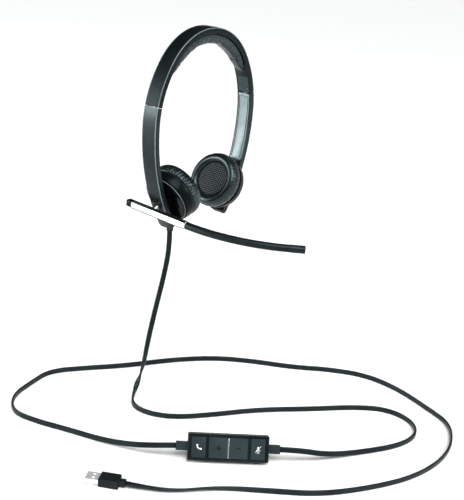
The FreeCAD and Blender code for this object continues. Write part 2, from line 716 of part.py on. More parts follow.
def cord(name, points):
    """Sweeps the lead along its route, and prints each arc's radius and the tube's length."""
    edges = []
    radii = []
    last = points[0]
    for before, corner, after in zip(points, points[1:], points[2:]):
        into = corner - before
        out = after - corner
        turn = into.getAngle(out)
        back_off = ARC_SHARE * min(into.Length, out.Length)
        radius = back_off / math.tan(turn / 2)
        radii.append(round(radius, 1))
        into.normalize()
        out.normalize()
        start = corner - into * back_off
        end = corner + out * back_off
        bisector = out - into
        bisector.normalize()
        inner = radius / math.cos(turn / 2) - radius
        edges.append(Part.LineSegment(last, start).toShape())
        edges.append(Part.Arc(start, corner + bisector * inner, end).toShape())
        last = end
    edges.append(Part.LineSegment(last, points[-1]).toShape())
    path = Part.Wire(edges)
    circle = Part.makeCircle(CORD_D / 2, points[0], points[1] - points[0])
    tube = path.makePipeShell([Part.Wire(circle)], True, False)
    expected = path.Length * math.pi * CORD_D ** 2 / 4
    print(name, "length", round(path.Length, 1), "volume ratio", round(tube.Volume / expected, 4))
    print(name, "arc radii", radii)
    save(name, tube)


controller_right = CTL.multVec(Vector(half_l + RELIEF_L, 0, 0))
controller_left = CTL.multVec(Vector(-half_l - RELIEF_L, 0, 0))
plug_neck_end = PLUG.multVec(Vector(half_pl + NECK_L, 0, mid_h))
cord("cord_upper", [Vector(*p) for p in UPPER_ROUTE] + [controller_right])
cord("cord_lower", [controller_left] + [Vector(*p) for p in LOWER_ROUTE] + [plug_neck_end])
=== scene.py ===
import json
import math

import bmesh
import bpy
import numpy as np
from mathutils import Matrix, Vector

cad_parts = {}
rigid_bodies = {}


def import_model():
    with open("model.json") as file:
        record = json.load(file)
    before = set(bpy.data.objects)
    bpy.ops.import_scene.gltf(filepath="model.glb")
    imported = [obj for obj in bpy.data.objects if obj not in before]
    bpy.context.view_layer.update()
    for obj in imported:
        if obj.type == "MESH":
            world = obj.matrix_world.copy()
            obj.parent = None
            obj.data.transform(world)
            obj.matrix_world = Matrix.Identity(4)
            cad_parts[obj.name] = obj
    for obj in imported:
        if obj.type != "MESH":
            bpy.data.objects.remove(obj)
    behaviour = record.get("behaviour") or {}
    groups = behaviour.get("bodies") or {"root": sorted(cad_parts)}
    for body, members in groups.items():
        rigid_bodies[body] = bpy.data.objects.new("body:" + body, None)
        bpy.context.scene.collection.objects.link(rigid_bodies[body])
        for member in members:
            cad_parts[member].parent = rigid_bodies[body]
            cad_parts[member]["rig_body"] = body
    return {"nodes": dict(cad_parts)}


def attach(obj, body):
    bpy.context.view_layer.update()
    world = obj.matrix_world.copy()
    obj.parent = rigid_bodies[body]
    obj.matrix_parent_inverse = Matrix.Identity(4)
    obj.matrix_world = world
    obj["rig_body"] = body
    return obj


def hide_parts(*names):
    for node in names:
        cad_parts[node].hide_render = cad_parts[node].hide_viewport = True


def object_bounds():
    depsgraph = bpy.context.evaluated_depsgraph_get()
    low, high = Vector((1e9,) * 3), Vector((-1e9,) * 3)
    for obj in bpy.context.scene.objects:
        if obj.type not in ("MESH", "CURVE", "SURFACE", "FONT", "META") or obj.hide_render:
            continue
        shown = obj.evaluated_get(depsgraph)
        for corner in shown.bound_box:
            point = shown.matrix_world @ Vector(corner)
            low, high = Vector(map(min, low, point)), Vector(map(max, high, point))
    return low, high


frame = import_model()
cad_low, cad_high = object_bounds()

# ---- Room and camera ----
# A plain pale floor and soft studio light. The headset is held up by its band, as on a stand, and
# its lead runs down to the floor.

MM = 0.001
FLOOR_Z = cad_low.z - 0.2 * MM
CAMERA_AT = Vector((-746.4, -622.9, 288.0)) * MM
CAMERA_HEADING = 52.63
CAMERA_TILT = 20.33
CAMERA_ROLL = 4.92
LENS_MM = 72.21


def linear(code):
    """An sRGB hex colour as linear RGBA."""
    values = [int(code[i:i + 2], 16) / 255 for i in (0, 2, 4)]
    return [v / 12.92 if v <= 0.04045 else ((v + 0.055) / 1.055) ** 2.4 for v in values] + [1.0]


def add(tree, kind, links=None, stops=None, **settings):
    """Adds a node. links gives each input a value or another node's socket."""
    node = tree.nodes.new(kind)
    for name, value in settings.items():
        setattr(node, name, value)
    for key, value in (links or {}).items():
        if isinstance(value, bpy.types.NodeSocket):
            tree.links.new(value, node.inputs[key])
        else:
            node.inputs[key].default_value = value
    if stops:
        for element, (place, colour) in zip(node.color_ramp.elements, stops):
            element.position = place
            element.color = linear(colour)
    return node


def new_material(name, **shader_values):
    """An empty material with its shader, whose plain values are set by name."""
    made = bpy.data.materials.new(name)
    made.use_nodes = True
    shader = made.node_tree.nodes["Principled BSDF"]
    for key, value in shader_values.items():
        shader.inputs[key.replace("_", " ")].default_value = value
    return made, made.node_tree, shader


def joined(made, tone, gloss, bump):
    """Joins colour, roughness and bump to a material's shader."""
    tree = made.node_tree
    shader = tree.nodes["Principled BSDF"]
    tree.links.new(tone.outputs["Color"], shader.inputs["Base Color"])
    tree.links.new(gloss.outputs["Result"], shader.inputs["Roughness"])
    tree.links.new(bump.outputs["Normal"], shader.inputs["Normal"])
    return made


def turn(axis, degrees):
    """A rotation about one axis."""
    return Matrix.Rotation(math.radians(degrees), 4, axis)


camera = bpy.data.objects.new("camera", bpy.data.cameras.new("camera"))
camera.data.lens = LENS_MM
camera.matrix_world = (Matrix.Translation(CAMERA_AT) @ turn("Z", -CAMERA_HEADING)
                       @ turn("X", 90 - CAMERA_TILT) @ turn("Z", CAMERA_ROLL))
bpy.context.scene.collection.objects.link(camera)
bpy.context.scene.camera = camera
bpy.context.scene.view_settings.view_transform = "Standard"

world = bpy.data.worlds.new("studio")
world.use_nodes = True
bpy.context.scene.world = world
sky = world.node_tree.nodes["Background"]
# The sky is pale at the horizon and dark overhead, so that black gloss stays black.
direction = add(world.node_tree, "ShaderNodeTexCoord").outputs["Generated"]
height = add(world.node_tree, "ShaderNodeSeparateXYZ", {"Vector": direction}).outputs["Z"]
shade = add(world.node_tree, "ShaderNodeValToRGB", {"Fac": height},
            stops=((0.02, "f2f4f5"), (0.26, "363c40")))
world.node_tree.links.new(shade.outputs["Color"], sky.inputs["Color"])
sky.inputs["Strength"].default_value = 0.95


def light(name, kind, place, target, energy, **settings):
    """A light at a place, aimed at a target."""
    data = bpy.data.lights.new(name, kind)
    data.energy = energy
    for key, value in settings.items():
        setattr(data, key, value)
    lamp = bpy.data.objects.new(name, data)
    lamp.location = place
    lamp.rotation_euler = (Vector(target) - Vector(place)).to_track_quat("-Z", "Y").to_euler()
    bpy.context.scene.collection.objects.link(lamp)


light("key_light", "SUN", (-0.9, -1.2, 2.2), (0, 0, 0), 3.6, angle=math.radians(40))
light("left_softbox", "AREA", (-1.6, 1.25, 0.35), (0, 0, 0.05), 44, shape="RECTANGLE", size=1.0, size_y=0.8)
light("front_softbox", "AREA", (0.6, -1.6, 0.9), (0, 0, 0), 16, shape="RECTANGLE", size=0.6, size_y=0.6)

paper, paper_tree, paper_shader = new_material("matt_white_paper", Roughness=0.95, Specular_IOR_Level=0.0)
paper_noise = add(paper_tree, "ShaderNodeTexNoise", {"Scale": 3.0, "Detail": 2.0})
paper_tone = add(paper_tree, "ShaderNodeValToRGB", {"Fac": paper_noise.outputs["Fac"]},
                 stops=((0.3, "f6f6f6"), (0.7, "fafafa")))
paper_tree.links.new(paper_tone.outputs["Color"], paper_shader.inputs["Base Color"])
floor_mesh = bpy.data.meshes.new("floor")
FLOOR_HALF = 40.0
corners = [(x * FLOOR_HALF, y * FLOOR_HALF) for x, y in ((-1, -1), (1, -1), (1, 1), (-1, 1))]
floor_mesh.from_pydata([(x, y, FLOOR_Z) for x, y in corners], [], [(0, 1, 2, 3)])
floor_mesh.materials.append(paper)
floor = bpy.data.objects.new("floor", floor_mesh)
bpy.context.scene.collection.objects.link(floor)

# ---- Lead ----
# A flat flexible lead, 5.2 by 2.2 mm, in one piece from the arm's foot to the controller and another
# from there to the plug. A flat lead only bends across its thin way, so it stands on edge round
# each curve of the floor, and twists where it hangs.

LEAD_W = 5.2 * MM
LEAD_T = 2.2 * MM
LEAD_CORNER = LEAD_T * 0.46
LIE = -207.4
UPPER_ROUTE = [
    (-39, -3, -45), (-39, -4, -62), (-45, -5, -88), (-57, -7, -120), (-68, -9, -152), (-75, -10, -183),
    (-88, -12, -203), (-104, -24, LIE), (-104, -48, LIE), (-89, -71, LIE), (-59, -92, LIE),
    (-18, -117, LIE), (22, -152, LIE), (60, -182, LIE), (80, -207, LIE), (79, -236, LIE), (60, -255, LIE),
    (28, -253, LIE), (-14, -231, -207), (-44, -216, -203), (-64, -201, -197), (-77.2, -186.3, -196.8),
]
LOWER_ROUTE = [
    (-140.8, -115.7, -196.8), (-153, -102, -198), (-163, -79, -203), (-171, -50, LIE), (-181, -16, LIE),
    (-192, 15, LIE), (-197, 45, LIE), (-176, 68, LIE), (-147, 76, LIE), (-116, 83, LIE), (-85, 64, LIE),
    (-47, 38, LIE), (-5, 17, LIE), (36, -12, LIE), (62, -46, LIE), (84, -85, LIE), (110, -116, LIE),
    (129, -152, LIE), (128, -193, LIE), (114, -236, LIE), (102, -268, LIE), (69, -288, LIE),
    (30, -295, LIE), (-14, -289, LIE), (-58, -269, LIE), (-96, -244, LIE), (-123, -211, LIE),
    (-151, -177, LIE), (-183, -152, LIE), (-198, -131, -207), (-206.2, -117, -206.1),
]
# The way that the lead's width points, at fractions of its length.
UPPER_WIDTH = [
    (0.0, (0.61, -0.79, 0)), (0.05, (0.61, -0.79, 0.1)), (0.17, (0.8, -0.4, 0.15)), (0.24, (0.5, 0.4, 0.8)),
    (0.3, (0.05, 0.05, 1)), (0.45, (0.15, -0.1, 1)), (0.6, (-0.1, 0.1, 1)), (0.8, (0.1, 0.1, 1)),
    (1.0, (0.278, 0.251, 0.927)),
]
LOWER_WIDTH = [
    (0.0, (0.278, 0.251, 0.927)), (0.06, (0.2, 0.15, 1)), (0.2, (-0.1, 0, 1)), (0.32, (0.05, 0.2, 1)),
    (0.5, (0.15, 0.1, 1)), (0.65, (-0.1, 0.1, 1)), (0.8, (0.1, -0.1, 1)), (0.88, (0.05, 0.1, 1)),
    (0.93, (-0.35, -0.25, 0.7)), (0.965, (-0.75, -0.45, 0.35)), (1.0, (-0.87, -0.49, 0)),
]


def smooth(mesh):
    """Smooth shading on every face."""
    mesh.polygons.foreach_set("use_smooth", [True] * len(mesh.polygons))


def face_out(mesh):
    """Turns every face to point outwards."""
    work = bmesh.new()
    work.from_mesh(mesh)
    bmesh.ops.recalc_face_normals(work, faces=work.faces)
    work.to_mesh(mesh)
    work.free()


def as_mesh(holder):
    """A new mesh of an object with its modifiers applied."""
    return bpy.data.meshes.new_from_object(holder.evaluated_get(bpy.context.evaluated_depsgraph_get()))


def spline_points(name, route):
    """The points of one smooth NURBS line whose control points are the route's."""
    curve = bpy.data.curves.new(name + "_line", "CURVE")
    curve.dimensions = "3D"
    spline = curve.splines.new("NURBS")
    spline.points.add(len(route) - 1)
    for point, place in zip(spline.points, route):
        point.co = (*(Vector(place) * MM), 1.0)
    spline.order_u = 3
    spline.use_endpoint_u = True
    spline.resolution_u = 18
    holder = bpy.data.objects.new(name + "_line", curve)
    bpy.context.scene.collection.objects.link(holder)
    bpy.context.view_layer.update()
    line = as_mesh(holder)
    points = [v.co.copy() for v in line.vertices]
    bpy.data.objects.remove(holder)
    bpy.data.curves.remove(curve)
    bpy.data.meshes.remove(line)
    return points


def new_piece(name, mesh, body, material):
    """Links a mesh as a piece that rides on a body."""
    mesh.materials.clear()
    mesh.materials.append(material)
    piece = bpy.data.objects.new(name, mesh)
    bpy.context.scene.collection.objects.link(piece)
    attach(piece, body)
    return piece


def loft(name, rings):
    """A closed skin over rings of equally many points, with UVs in metres along and around it."""
    count = len(rings[0])
    vertices = [p for ring in rings for p in ring]
    faces = []
    for i in range(len(rings) - 1):
        for j in range(count):
            k = (j + 1) % count
            faces.append((i * count + j, i * count + k, (i + 1) * count + k, (i + 1) * count + j))
    walls = len(faces)
    faces.append(tuple(reversed(range(count))))
    faces.append(tuple(range(len(vertices) - count, len(vertices))))
    mesh = bpy.data.meshes.new(name)
    mesh.from_pydata([tuple(v) for v in vertices], [], faces)
    grid = np.array([[tuple(p) for p in ring] for ring in rings])
    along = np.concatenate([[0], np.cumsum(np.linalg.norm(np.diff(grid.mean(1), axis=0), axis=1))])
    steps = np.linalg.norm(grid[0] - np.roll(grid[0], 1, axis=0), axis=1)
    across = np.concatenate([[0], np.cumsum(steps[1:]), [steps.sum()]])
    layer = mesh.uv_layers.new(name="UVMap")
    for polygon in mesh.polygons[:walls]:
        i, j = divmod(polygon.index, count)
        places = [(i, j), (i, j + 1), (i + 1, j + 1), (i + 1, j)]
        for corner, (row, column) in zip(polygon.loop_indices, places):
            layer.data[corner].uv = (along[row], across[column])
    smooth(mesh)
    volume = sum(p.center.dot(p.normal) * p.area for p in mesh.polygons)
    if volume < 0:
        mesh.flip_normals()
    return mesh


def flat_section(width, thickness, radius, steps=4):
    """Corners of a rounded oblong, as (across, up) pairs."""
    points = []
    for sx, sy, start in ((1, 1, 0), (-1, 1, 90), (-1, -1, 180), (1, -1, 270)):
        for i in range(steps + 1):
            a = math.radians(start + 90 * i / steps)
            x = sx * (width / 2 - radius) + radius * math.cos(a)
            points.append((x, sy * (thickness / 2 - radius) + radius * math.sin(a)))
    return points


def lead(name, node, route, widths):
    """A flat lead swept along its route, with the points of its line and its length in metres."""
    points = spline_points(name, route)
    steps = [0.0]
    for a, b in zip(points, points[1:]):
        steps.append(steps[-1] + (b - a).length)
    total = steps[-1]
    keys = [k for k, _ in widths]
    rings = []
    section = flat_section(LEAD_W, LEAD_T, LEAD_CORNER)
    for i, place in enumerate(points):
        before = points[max(i - 1, 0)]
        after = points[min(i + 1, len(points) - 1)]
        ahead = (after - before).normalized()
        way = Vector([np.interp(steps[i] / total, keys, [w[c] for _, w in widths]) for c in range(3)])
        wide = (way - ahead * way.dot(ahead)).normalized()
        thin = ahead.cross(wide)
        rings.append([place + wide * x + thin * y for x, y in section])
    piece = new_piece(name, loft(name, rings), "right_arm", sheath)
    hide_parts(node)
    return piece, points, round(total, 3)


# The tint of the highlights on every dark plastic, from the cool soft light.
COOL = "d4f0f5"


def soft_pvc(name, dark, light_tone, roughness, grain_mm):
    """Extruded or moulded soft PVC: even, dark and satin, with a faint drag along it."""
    made, tree, shader = new_material(name, Roughness=roughness, Specular_IOR_Level=0.2)
    shader.inputs["Specular Tint"].default_value = linear(COOL)
    coords = add(tree, "ShaderNodeTexCoord").outputs["Object"]
    broad = add(tree, "ShaderNodeTexNoise", {"Vector": coords, "Scale": 60.0, "Detail": 3.0})
    tone = add(tree, "ShaderNodeValToRGB", {"Fac": broad.outputs["Fac"]},
               stops=((0.35, dark), (0.65, light_tone)))
    fine = add(tree, "ShaderNodeTexNoise", {"Vector": coords, "Scale": 1 / (grain_mm * MM), "Detail": 2.0})
    gloss = add(tree, "ShaderNodeMapRange",
                {"Value": broad.outputs["Fac"], "To Min": roughness - 0.05, "To Max": roughness + 0.07})
    bump = add(tree, "ShaderNodeBump",
               {"Height": fine.outputs["Fac"], "Strength": 0.12, "Distance": 0.05 * MM})
    return joined(made, tone, gloss, bump)


# The lead's sheath shows a long soft highlight wherever its flat face turns up.
sheath = soft_pvc("soft_pvc_sheath", "121617", "1a2021", 0.34, 0.5)
upper_lead, upper_points, upper_length = lead("upper_lead", "cord_upper", UPPER_ROUTE, UPPER_WIDTH)
lower_lead, lower_points, lower_length = lead("lower_lead", "cord_lower", LOWER_ROUTE, LOWER_WIDTH)

# ---- Controller and its strain reliefs ----
# An ABS casing in two halves round a small circuit board, with moulded ABS keys. It lies leaning back
# on its long edge. The two soft PVC reliefs are moulded onto the lead's ends and snap into the casing.


def moulded_abs(name, dark, light_tone, roughness, grain_mm, bump_strength=0.18, shine=0.2):
    """Moulded ABS: spark-eroded grain, which scatters a soft sheen, and paler where handled."""
    made, tree, shader = new_material(name, Roughness=roughness, Specular_IOR_Level=shine)
    shader.inputs["Specular Tint"].default_value = linear(COOL)
    coords = add(tree, "ShaderNodeTexCoord").outputs["Object"]
    broad = add(tree, "ShaderNodeTexNoise", {"Vector": coords, "Scale": 45.0, "Detail": 4.0})
    worn = add(tree, "ShaderNodeNewGeometry").outputs["Pointiness"]
    edge = add(tree, "ShaderNodeMapRange",
               {"Value": worn, "From Min": 0.5, "From Max": 0.62, "To Max": 0.35})
    mixed = add(tree, "ShaderNodeMath",
                {0: broad.outputs["Fac"], 1: edge.outputs["Result"]}, operation="ADD")
    tone = add(tree, "ShaderNodeValToRGB", {"Fac": mixed.outputs["Value"]},
               stops=((0.35, dark), (0.8, light_tone)))
    grain = add(tree, "ShaderNodeTexNoise", {"Vector": coords, "Scale": 1 / (grain_mm * MM), "Detail": 3.0})
    gloss = add(tree, "ShaderNodeMapRange",
                {"Value": broad.outputs["Fac"], "To Min": roughness - 0.06, "To Max": roughness + 0.06})
    bump = add(tree, "ShaderNodeBump",
               {"Height": grain.outputs["Fac"], "Strength": bump_strength, "Distance": 0.06 * MM})
    return joined(made, tone, gloss, bump)


WELD = 0.002 * MM
FLAT_WITHIN = math.radians(0.6)
MOULD_EDGE = math.radians(32)


def moulding(node, material, edge_mm, segments=2):
    """A copy of a CAD node with its sharp edges rounded, as they leave a mould or a press."""
    source = frame["nodes"][node]
    mesh = source.data.copy()
    mesh.name = node + "_finished"
    work = bmesh.new()
    work.from_mesh(mesh)
    bmesh.ops.remove_doubles(work, verts=work.verts, dist=WELD)
    if edge_mm:
        bmesh.ops.dissolve_limit(work, angle_limit=FLAT_WITHIN, verts=work.verts, edges=work.edges)
    work.to_mesh(mesh)
    work.free()
    smooth(mesh)
    if not edge_mm:
        mesh.set_sharp_from_angle(angle=MOULD_EDGE)
    piece = new_piece(mesh.name, mesh, source["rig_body"], material)
    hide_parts(node)
    if edge_mm:
        bevel = piece.modifiers.new("rounded_edges", "BEVEL")
        bevel.width = edge_mm * MM
        bevel.segments = segments
        bevel.limit_method = "ANGLE"
        bevel.angle_limit = MOULD_EDGE
        bevel.harden_normals = True


# The casing is darker and shinier than its keys, and the reliefs are soft PVC.
casing_abs = moulded_abs("charcoal_abs_casing", "0a0e0f", "12181a", 0.4, 0.35, shine=0.14)
key_abs = moulded_abs("slate_abs_keys", "1d2527", "293234", 0.5, 0.3)
boot_pvc = soft_pvc("soft_pvc_relief", "1a2022", "262e30", 0.46, 0.4)
moulding("controller_front", casing_abs, 0.2)
moulding("controller_back", casing_abs, 0.4)
for relief in ("relief_headset_end", "relief_plug_end"):
    moulding(relief, boot_pvc, 0.2)
for key_node in ("call_key", "volume_rocker", "mute_key"):
    moulding(key_node, key_abs, 0.12)

CTL_CENTRE = Vector((-109.0, -151.0, -196.82)) * MM
CTL_HEADING = -48
CTL_LEAN = -22
CTL_PLACE = Matrix.Translation(CTL_CENTRE) @ turn("Z", CTL_HEADING) @ turn("X", CTL_LEAN)
KEY_FACE = -6.0
END_KEY_X = 27.0
ROCKER_SIGN_X = 9.0


def raised_outline(name, outlines, place, lift, body, material):
    """Thin flat marks, from outlines in mm on a plane whose own Z is the surface's outward way."""
    vertices = []
    faces = []
    for outline in outlines:
        first = len(vertices)
        count = len(outline)
        for level in (0.0, lift):
            vertices += [place @ (Vector((x, y, level)) * MM) for x, y in outline]
        faces.append(tuple(range(first + count - 1, first - 1, -1)))
        faces.append(tuple(range(first + count, first + 2 * count)))
        for i in range(count):
            j = (i + 1) % count
            faces.append((first + i, first + j, first + count + j, first + count + i))
    mesh = bpy.data.meshes.new(name)
    mesh.from_pydata([tuple(v) for v in vertices], [], faces)
    face_out(mesh)
    new_piece(name, mesh, body, material)


def arc_points(cx, cy, radius, start, end, steps=8):
    """Points along an arc between two angles in degrees."""
    turns = [math.radians(start + (end - start) * i / steps) for i in range(steps + 1)]
    return [(cx + radius * math.cos(a), cy + radius * math.sin(a)) for a in turns]


def bar(x0, y0, x1, y1, width):
    """An oblong mark between two points."""
    along = Vector((x1 - x0, y1 - y0)).normalized() * width / 2
    across = Vector((-along.y, along.x))
    return [(x0 + across.x, y0 + across.y), (x0 - across.x, y0 - across.y),
            (x1 - across.x, y1 - across.y), (x1 + across.x, y1 + across.y)]


# The marks are pad-printed white ink. The plus and minus are sunk, and are drawn as thin near-black marks:
# painted shade for their recesses.
ink, ink_tree, ink_shader = new_material("white_pad_print", Roughness=0.55)
ink_coords = add(ink_tree, "ShaderNodeTexCoord").outputs["Object"]
ink_noise = add(ink_tree, "ShaderNodeTexNoise", {"Vector": ink_coords, "Scale": 900.0, "Detail": 3.0})
ink_tone = add(ink_tree, "ShaderNodeValToRGB", {"Fac": ink_noise.outputs["Fac"]},
               stops=((0.3, "dfe2e3"), (0.7, "f7f8f8")))
ink_tree.links.new(ink_tone.outputs["Color"], ink_shader.inputs["Base Color"])
# Near-black ABS for the sunk plus and minus: painted shade.
sunk = moulded_abs("painted_shade_sign_abs", "050707", "0a0c0c", 0.5, 0.3)
face_up = turn("X", 90)


def key_plane(x):
    """The plane of a key's face: X along the controller, Y up it, Z out of it."""
    return CTL_PLACE @ Matrix.Translation(Vector((x, KEY_FACE - 0.01, 0)) * MM) @ face_up


handset = (arc_points(2.6, 2.6, 4.9, 188, 262, 10) + arc_points(2.6, 2.6, 3.9, 262, 188, 10))
ear_end = arc_points(-1.4, 1.9, 0.95, 0, 360, 14)[:-1]
mouth_end = arc_points(1.9, -1.4, 0.95, 0, 360, 14)[:-1]
raised_outline("call_mark", [handset, ear_end, mouth_end], key_plane(-END_KEY_X), 0.05, "call_key",
               ink)
capsule = arc_points(0, 1.7, 0.8, 0, 180) + arc_points(0, -0.1, 0.8, 180, 360)
cradle = arc_points(0, -0.2, 1.9, 180, 360, 12) + arc_points(0, -0.2, 1.55, 360, 180, 12)
mute_marks = [capsule, cradle, bar(0, -2.0, 0, -3.1, 0.35), bar(-1.1, -3.2, 1.1, -3.2, 0.35),
              bar(-2.5, -2.7, 2.5, 2.9, 0.4)]
raised_outline("mute_mark", mute_marks, key_plane(END_KEY_X), 0.05, "mute_key", ink)
plus = [bar(-2.3, 0, 2.3, 0, 0.9), bar(0, -2.3, 0, 2.3, 0.9)]
raised_outline("plus_mark", plus, key_plane(-ROCKER_SIGN_X), 0.03, "volume_rocker", sunk)
minus = [bar(-2.3, 0, 2.3, 0, 0.9)]
raised_outline("minus_mark", minus, key_plane(ROCKER_SIGN_X), 0.03, "volume_rocker", sunk)


def metal(name, dark, light_tone, roughness, brush=(1.0, 1.0, 1.0), scale=800.0, strength=0.1,
          metallic=1.0):
    """Metal with fine scratches, drawn out along one way where the brush scales are uneven."""
    made, tree, shader = new_material(name, Metallic=metallic, Roughness=roughness)
    coords = add(tree, "ShaderNodeTexCoord").outputs["Object"]
    mapped = add(tree, "ShaderNodeMapping", {"Vector": coords, "Scale": brush}).outputs["Vector"]
    lines = add(tree, "ShaderNodeTexNoise", {"Vector": mapped, "Scale": scale, "Detail": 4.0})
    tone = add(tree, "ShaderNodeValToRGB", {"Fac": lines.outputs["Fac"]},
               stops=((0.3, dark), (0.7, light_tone)))
    gloss = add(tree, "ShaderNodeMapRange",
                {"Value": lines.outputs["Fac"], "To Min": roughness - 0.07, "To Max": roughness + 0.08})
    bump = add(tree, "ShaderNodeBump",
               {"Height": lines.outputs["Fac"], "Strength": strength, "Distance": 0.02 * MM})
    return joined(made, tone, gloss, bump)


# Inside: a green glass-epoxy board with four tactile switches.
solder_mask = moulded_abs("green_solder_mask", "0b3a22", "125433", 0.35, 0.5)
black_nylon = moulded_abs("black_nylon", "0e0f10", "1a1c1d", 0.5, 0.4)
moulding("controller_board", solder_mask, 0.05)
moulding("key_switches", black_nylon, 0.1)
satin_aluminium = metal("brushed_aluminium", "b9bcbf", "dfe2e4", 0.32, (1.0, 0.04, 1.0), 2500.0)
moulding("volume_divider", satin_aluminium, 0.08)

# ---- USB-A plug ----
# A nickel-plated steel shell pressed round a white nylon tongue with four gilt contacts. The soft PVC
# overmould and its neck are moulded over the back of the shell and the lead.

# Bright nickel that greys a little, gold plate on the contacts, and soft PVC that barely shines.
nickel = metal("nickel_plated_steel", "e8eaea", "fbfbfb", 0.36, scale=500.0, strength=0.05, metallic=0.7)
gilt = metal("gilt_contacts", "b98f3c", "e0bd6a", 0.25, scale=900.0)
white_nylon = moulded_abs("white_nylon", "d6d8d9", "eceeee", 0.45, 0.4)
plug_pvc = soft_pvc("soft_pvc_overmould", "111213", "191b1c", 0.5, 0.35)
moulding("plug_overmould", plug_pvc, 0.3)
moulding("plug_shell", nickel, 0.08)
moulding("plug_tongue", white_nylon, 0.05)
moulding("plug_contacts", gilt, 0.03)
moulding("cord_boot", boot_pvc, 0.3)

# ---- The hoop's line ----
# The band and arms share one line, measured in mm from the crown along the outer face: a crown arc,
# a side arc and a flatter lower arc. Depth runs inwards from that face.

HALF_WIDTH = 74.0
WIDEST_Z = 63.5
CROWN_R = 66.0
SIDE_R = 104.0
LOWER_R = 185.0
CROWN_Z = WIDEST_Z + math.sqrt((SIDE_R - CROWN_R) ** 2 - (SIDE_R - HALF_WIDTH) ** 2)
JOIN = math.atan2(CROWN_Z - WIDEST_Z, SIDE_R - HALF_WIDTH)
CROWN_LENGTH = CROWN_R * (math.pi / 2 - JOIN)
SIDE_LENGTH = SIDE_R * JOIN
HOOP_T = 6.2
HALF_Y = 8.5
CHANNEL_WALL = 1.6
CHANNEL_LIP_Y = 6.9
SWEPT_EDGE = math.radians(38)


def hoop(along, across, depth):
    """The point in mm at a distance along the hoop, positive to the wearer's left."""
    side = -1 if along < 0 else 1
    run = abs(along)
    if run < CROWN_LENGTH:
        centre, radius, angle = (0.0, CROWN_Z), CROWN_R, math.pi / 2 - run / CROWN_R
    elif run < CROWN_LENGTH + SIDE_LENGTH:
        angle = JOIN - (run - CROWN_LENGTH) / SIDE_R
        centre, radius = (HALF_WIDTH - SIDE_R, WIDEST_Z), SIDE_R
    else:
        angle = -(run - CROWN_LENGTH - SIDE_LENGTH) / LOWER_R
        centre, radius = (HALF_WIDTH - LOWER_R, WIDEST_Z), LOWER_R
    reach = radius - depth
    x = centre[0] + reach * math.cos(angle)
    return Vector((side * x, across, centre[1] + reach * math.sin(angle)))


def at_side_angle(degrees):
    """Distance along the hoop of an angle above the widest point, or below it if negative."""
    radius = SIDE_R if degrees >= 0 else LOWER_R
    return CROWN_LENGTH + SIDE_LENGTH - math.radians(degrees) * radius


def strip_skin(name, section, stops, body, material):
    """A shell or trim swept along the hoop. The section is (across, depth) corners in mm."""
    rings = [[hoop(along, y, d) * MM for y, d in section] for along in stops]
    mesh = loft(name, rings)
    mesh.set_sharp_from_angle(angle=SWEPT_EDGE)
    return new_piece(name, mesh, body, material)


def spread(first, last, step):
    """Even stops from first to last, about a step apart."""
    count = max(2, round(abs(last - first) / step))
    return [first + (last - first) * i / count for i in range(count + 1)]


def channel_section(corner_r, groove_at, crown):
    """Half of a C-shaped shell, mirrored: a crowned face, round corners, a witness groove and a lip."""
    turns = [math.radians(90 * i / 5) for i in range(6)]
    half = [(3.5, -crown * 0.8), (6.0, -crown * 0.35)]
    half += [(HALF_Y - corner_r + corner_r * math.sin(t), corner_r - corner_r * math.cos(t)) for t in turns]
    half += [(HALF_Y, groove_at), (HALF_Y - 0.3, groove_at + 0.15), (HALF_Y - 0.3, groove_at + 0.4),
             (HALF_Y, groove_at + 0.55), (HALF_Y, HOOP_T - 0.35), (HALF_Y - 0.35, HOOP_T),
             (CHANNEL_LIP_Y, HOOP_T), (CHANNEL_LIP_Y, CHANNEL_WALL)]
    return [(-y, d) for y, d in reversed(half)] + [(0.0, -crown)] + half


# ---- Arms ----
# Each arm is an ABS channel, painted slate with a soft-feel satin lacquer, with a paler satin inner
# panel clipped into it, a pivot cover that holds the ear cup, and a black foot cap.

SEAM = at_side_angle(11.3)
ARM_TOP = at_side_angle(11.0)
ARM_LOW = at_side_angle(-31.6)
# Soft-feel lacquer glows gently along the arm, and the panel's paler lacquer reflects more.
slate_lacquer = moulded_abs("slate_soft_feel_lacquer", "090d0e", "141a1b", 0.27, 0.25, 0.1, 0.24)
panel_lacquer = moulded_abs("grey_satin_panel", "6b7678", "869294", 0.3, 0.3, 0.08, 0.42)
# Bare black ABS for the covers, and spring steel with its grinding lines along the rail.
black_abs = moulded_abs("black_abs", "0c0d0e", "191b1d", 0.36, 0.3)
spring_steel = metal("ground_spring_steel", "8d9093", "b4b7b9", 0.3, (1.0, 1.0, 0.06), 2200.0)
for side, side_name in ((-1, "right"), (1, "left")):
    arm_body = side_name + "_arm"
    shell = strip_skin(side_name + "_arm_channel", channel_section(1.0, 1.5, 0.12),
                       [side * a for a in spread(ARM_TOP, ARM_LOW, 2.0)], arm_body, slate_lacquer)
    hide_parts(side_name + "_arm_shell")
    moulding(side_name + "_arm_panel", panel_lacquer, 0.3)
    moulding(side_name + "_pivot_cover", black_abs, 0.3)
    moulding(side_name + "_foot_cap", black_abs, 0.6, segments=3)
    moulding(side_name + "_slide_rail", spring_steel, 0.15)

BEAD_R = 0.5
BEAD_IN = 0.42


def edge_beads(name, stops, body, material):
    """A raised bead along both long edges of the outer face."""
    for edge, edge_name in ((-1, "front"), (1, "back")):
        loop = [(edge * (HALF_Y - BEAD_IN + BEAD_R * math.cos(math.radians(36 * i))),
                 BEAD_IN + BEAD_R * math.sin(math.radians(36 * i))) for i in range(10)]
        bead = strip_skin(f"{name}_{edge_name}", loop, stops, body, material)
        smooth(bead.data)
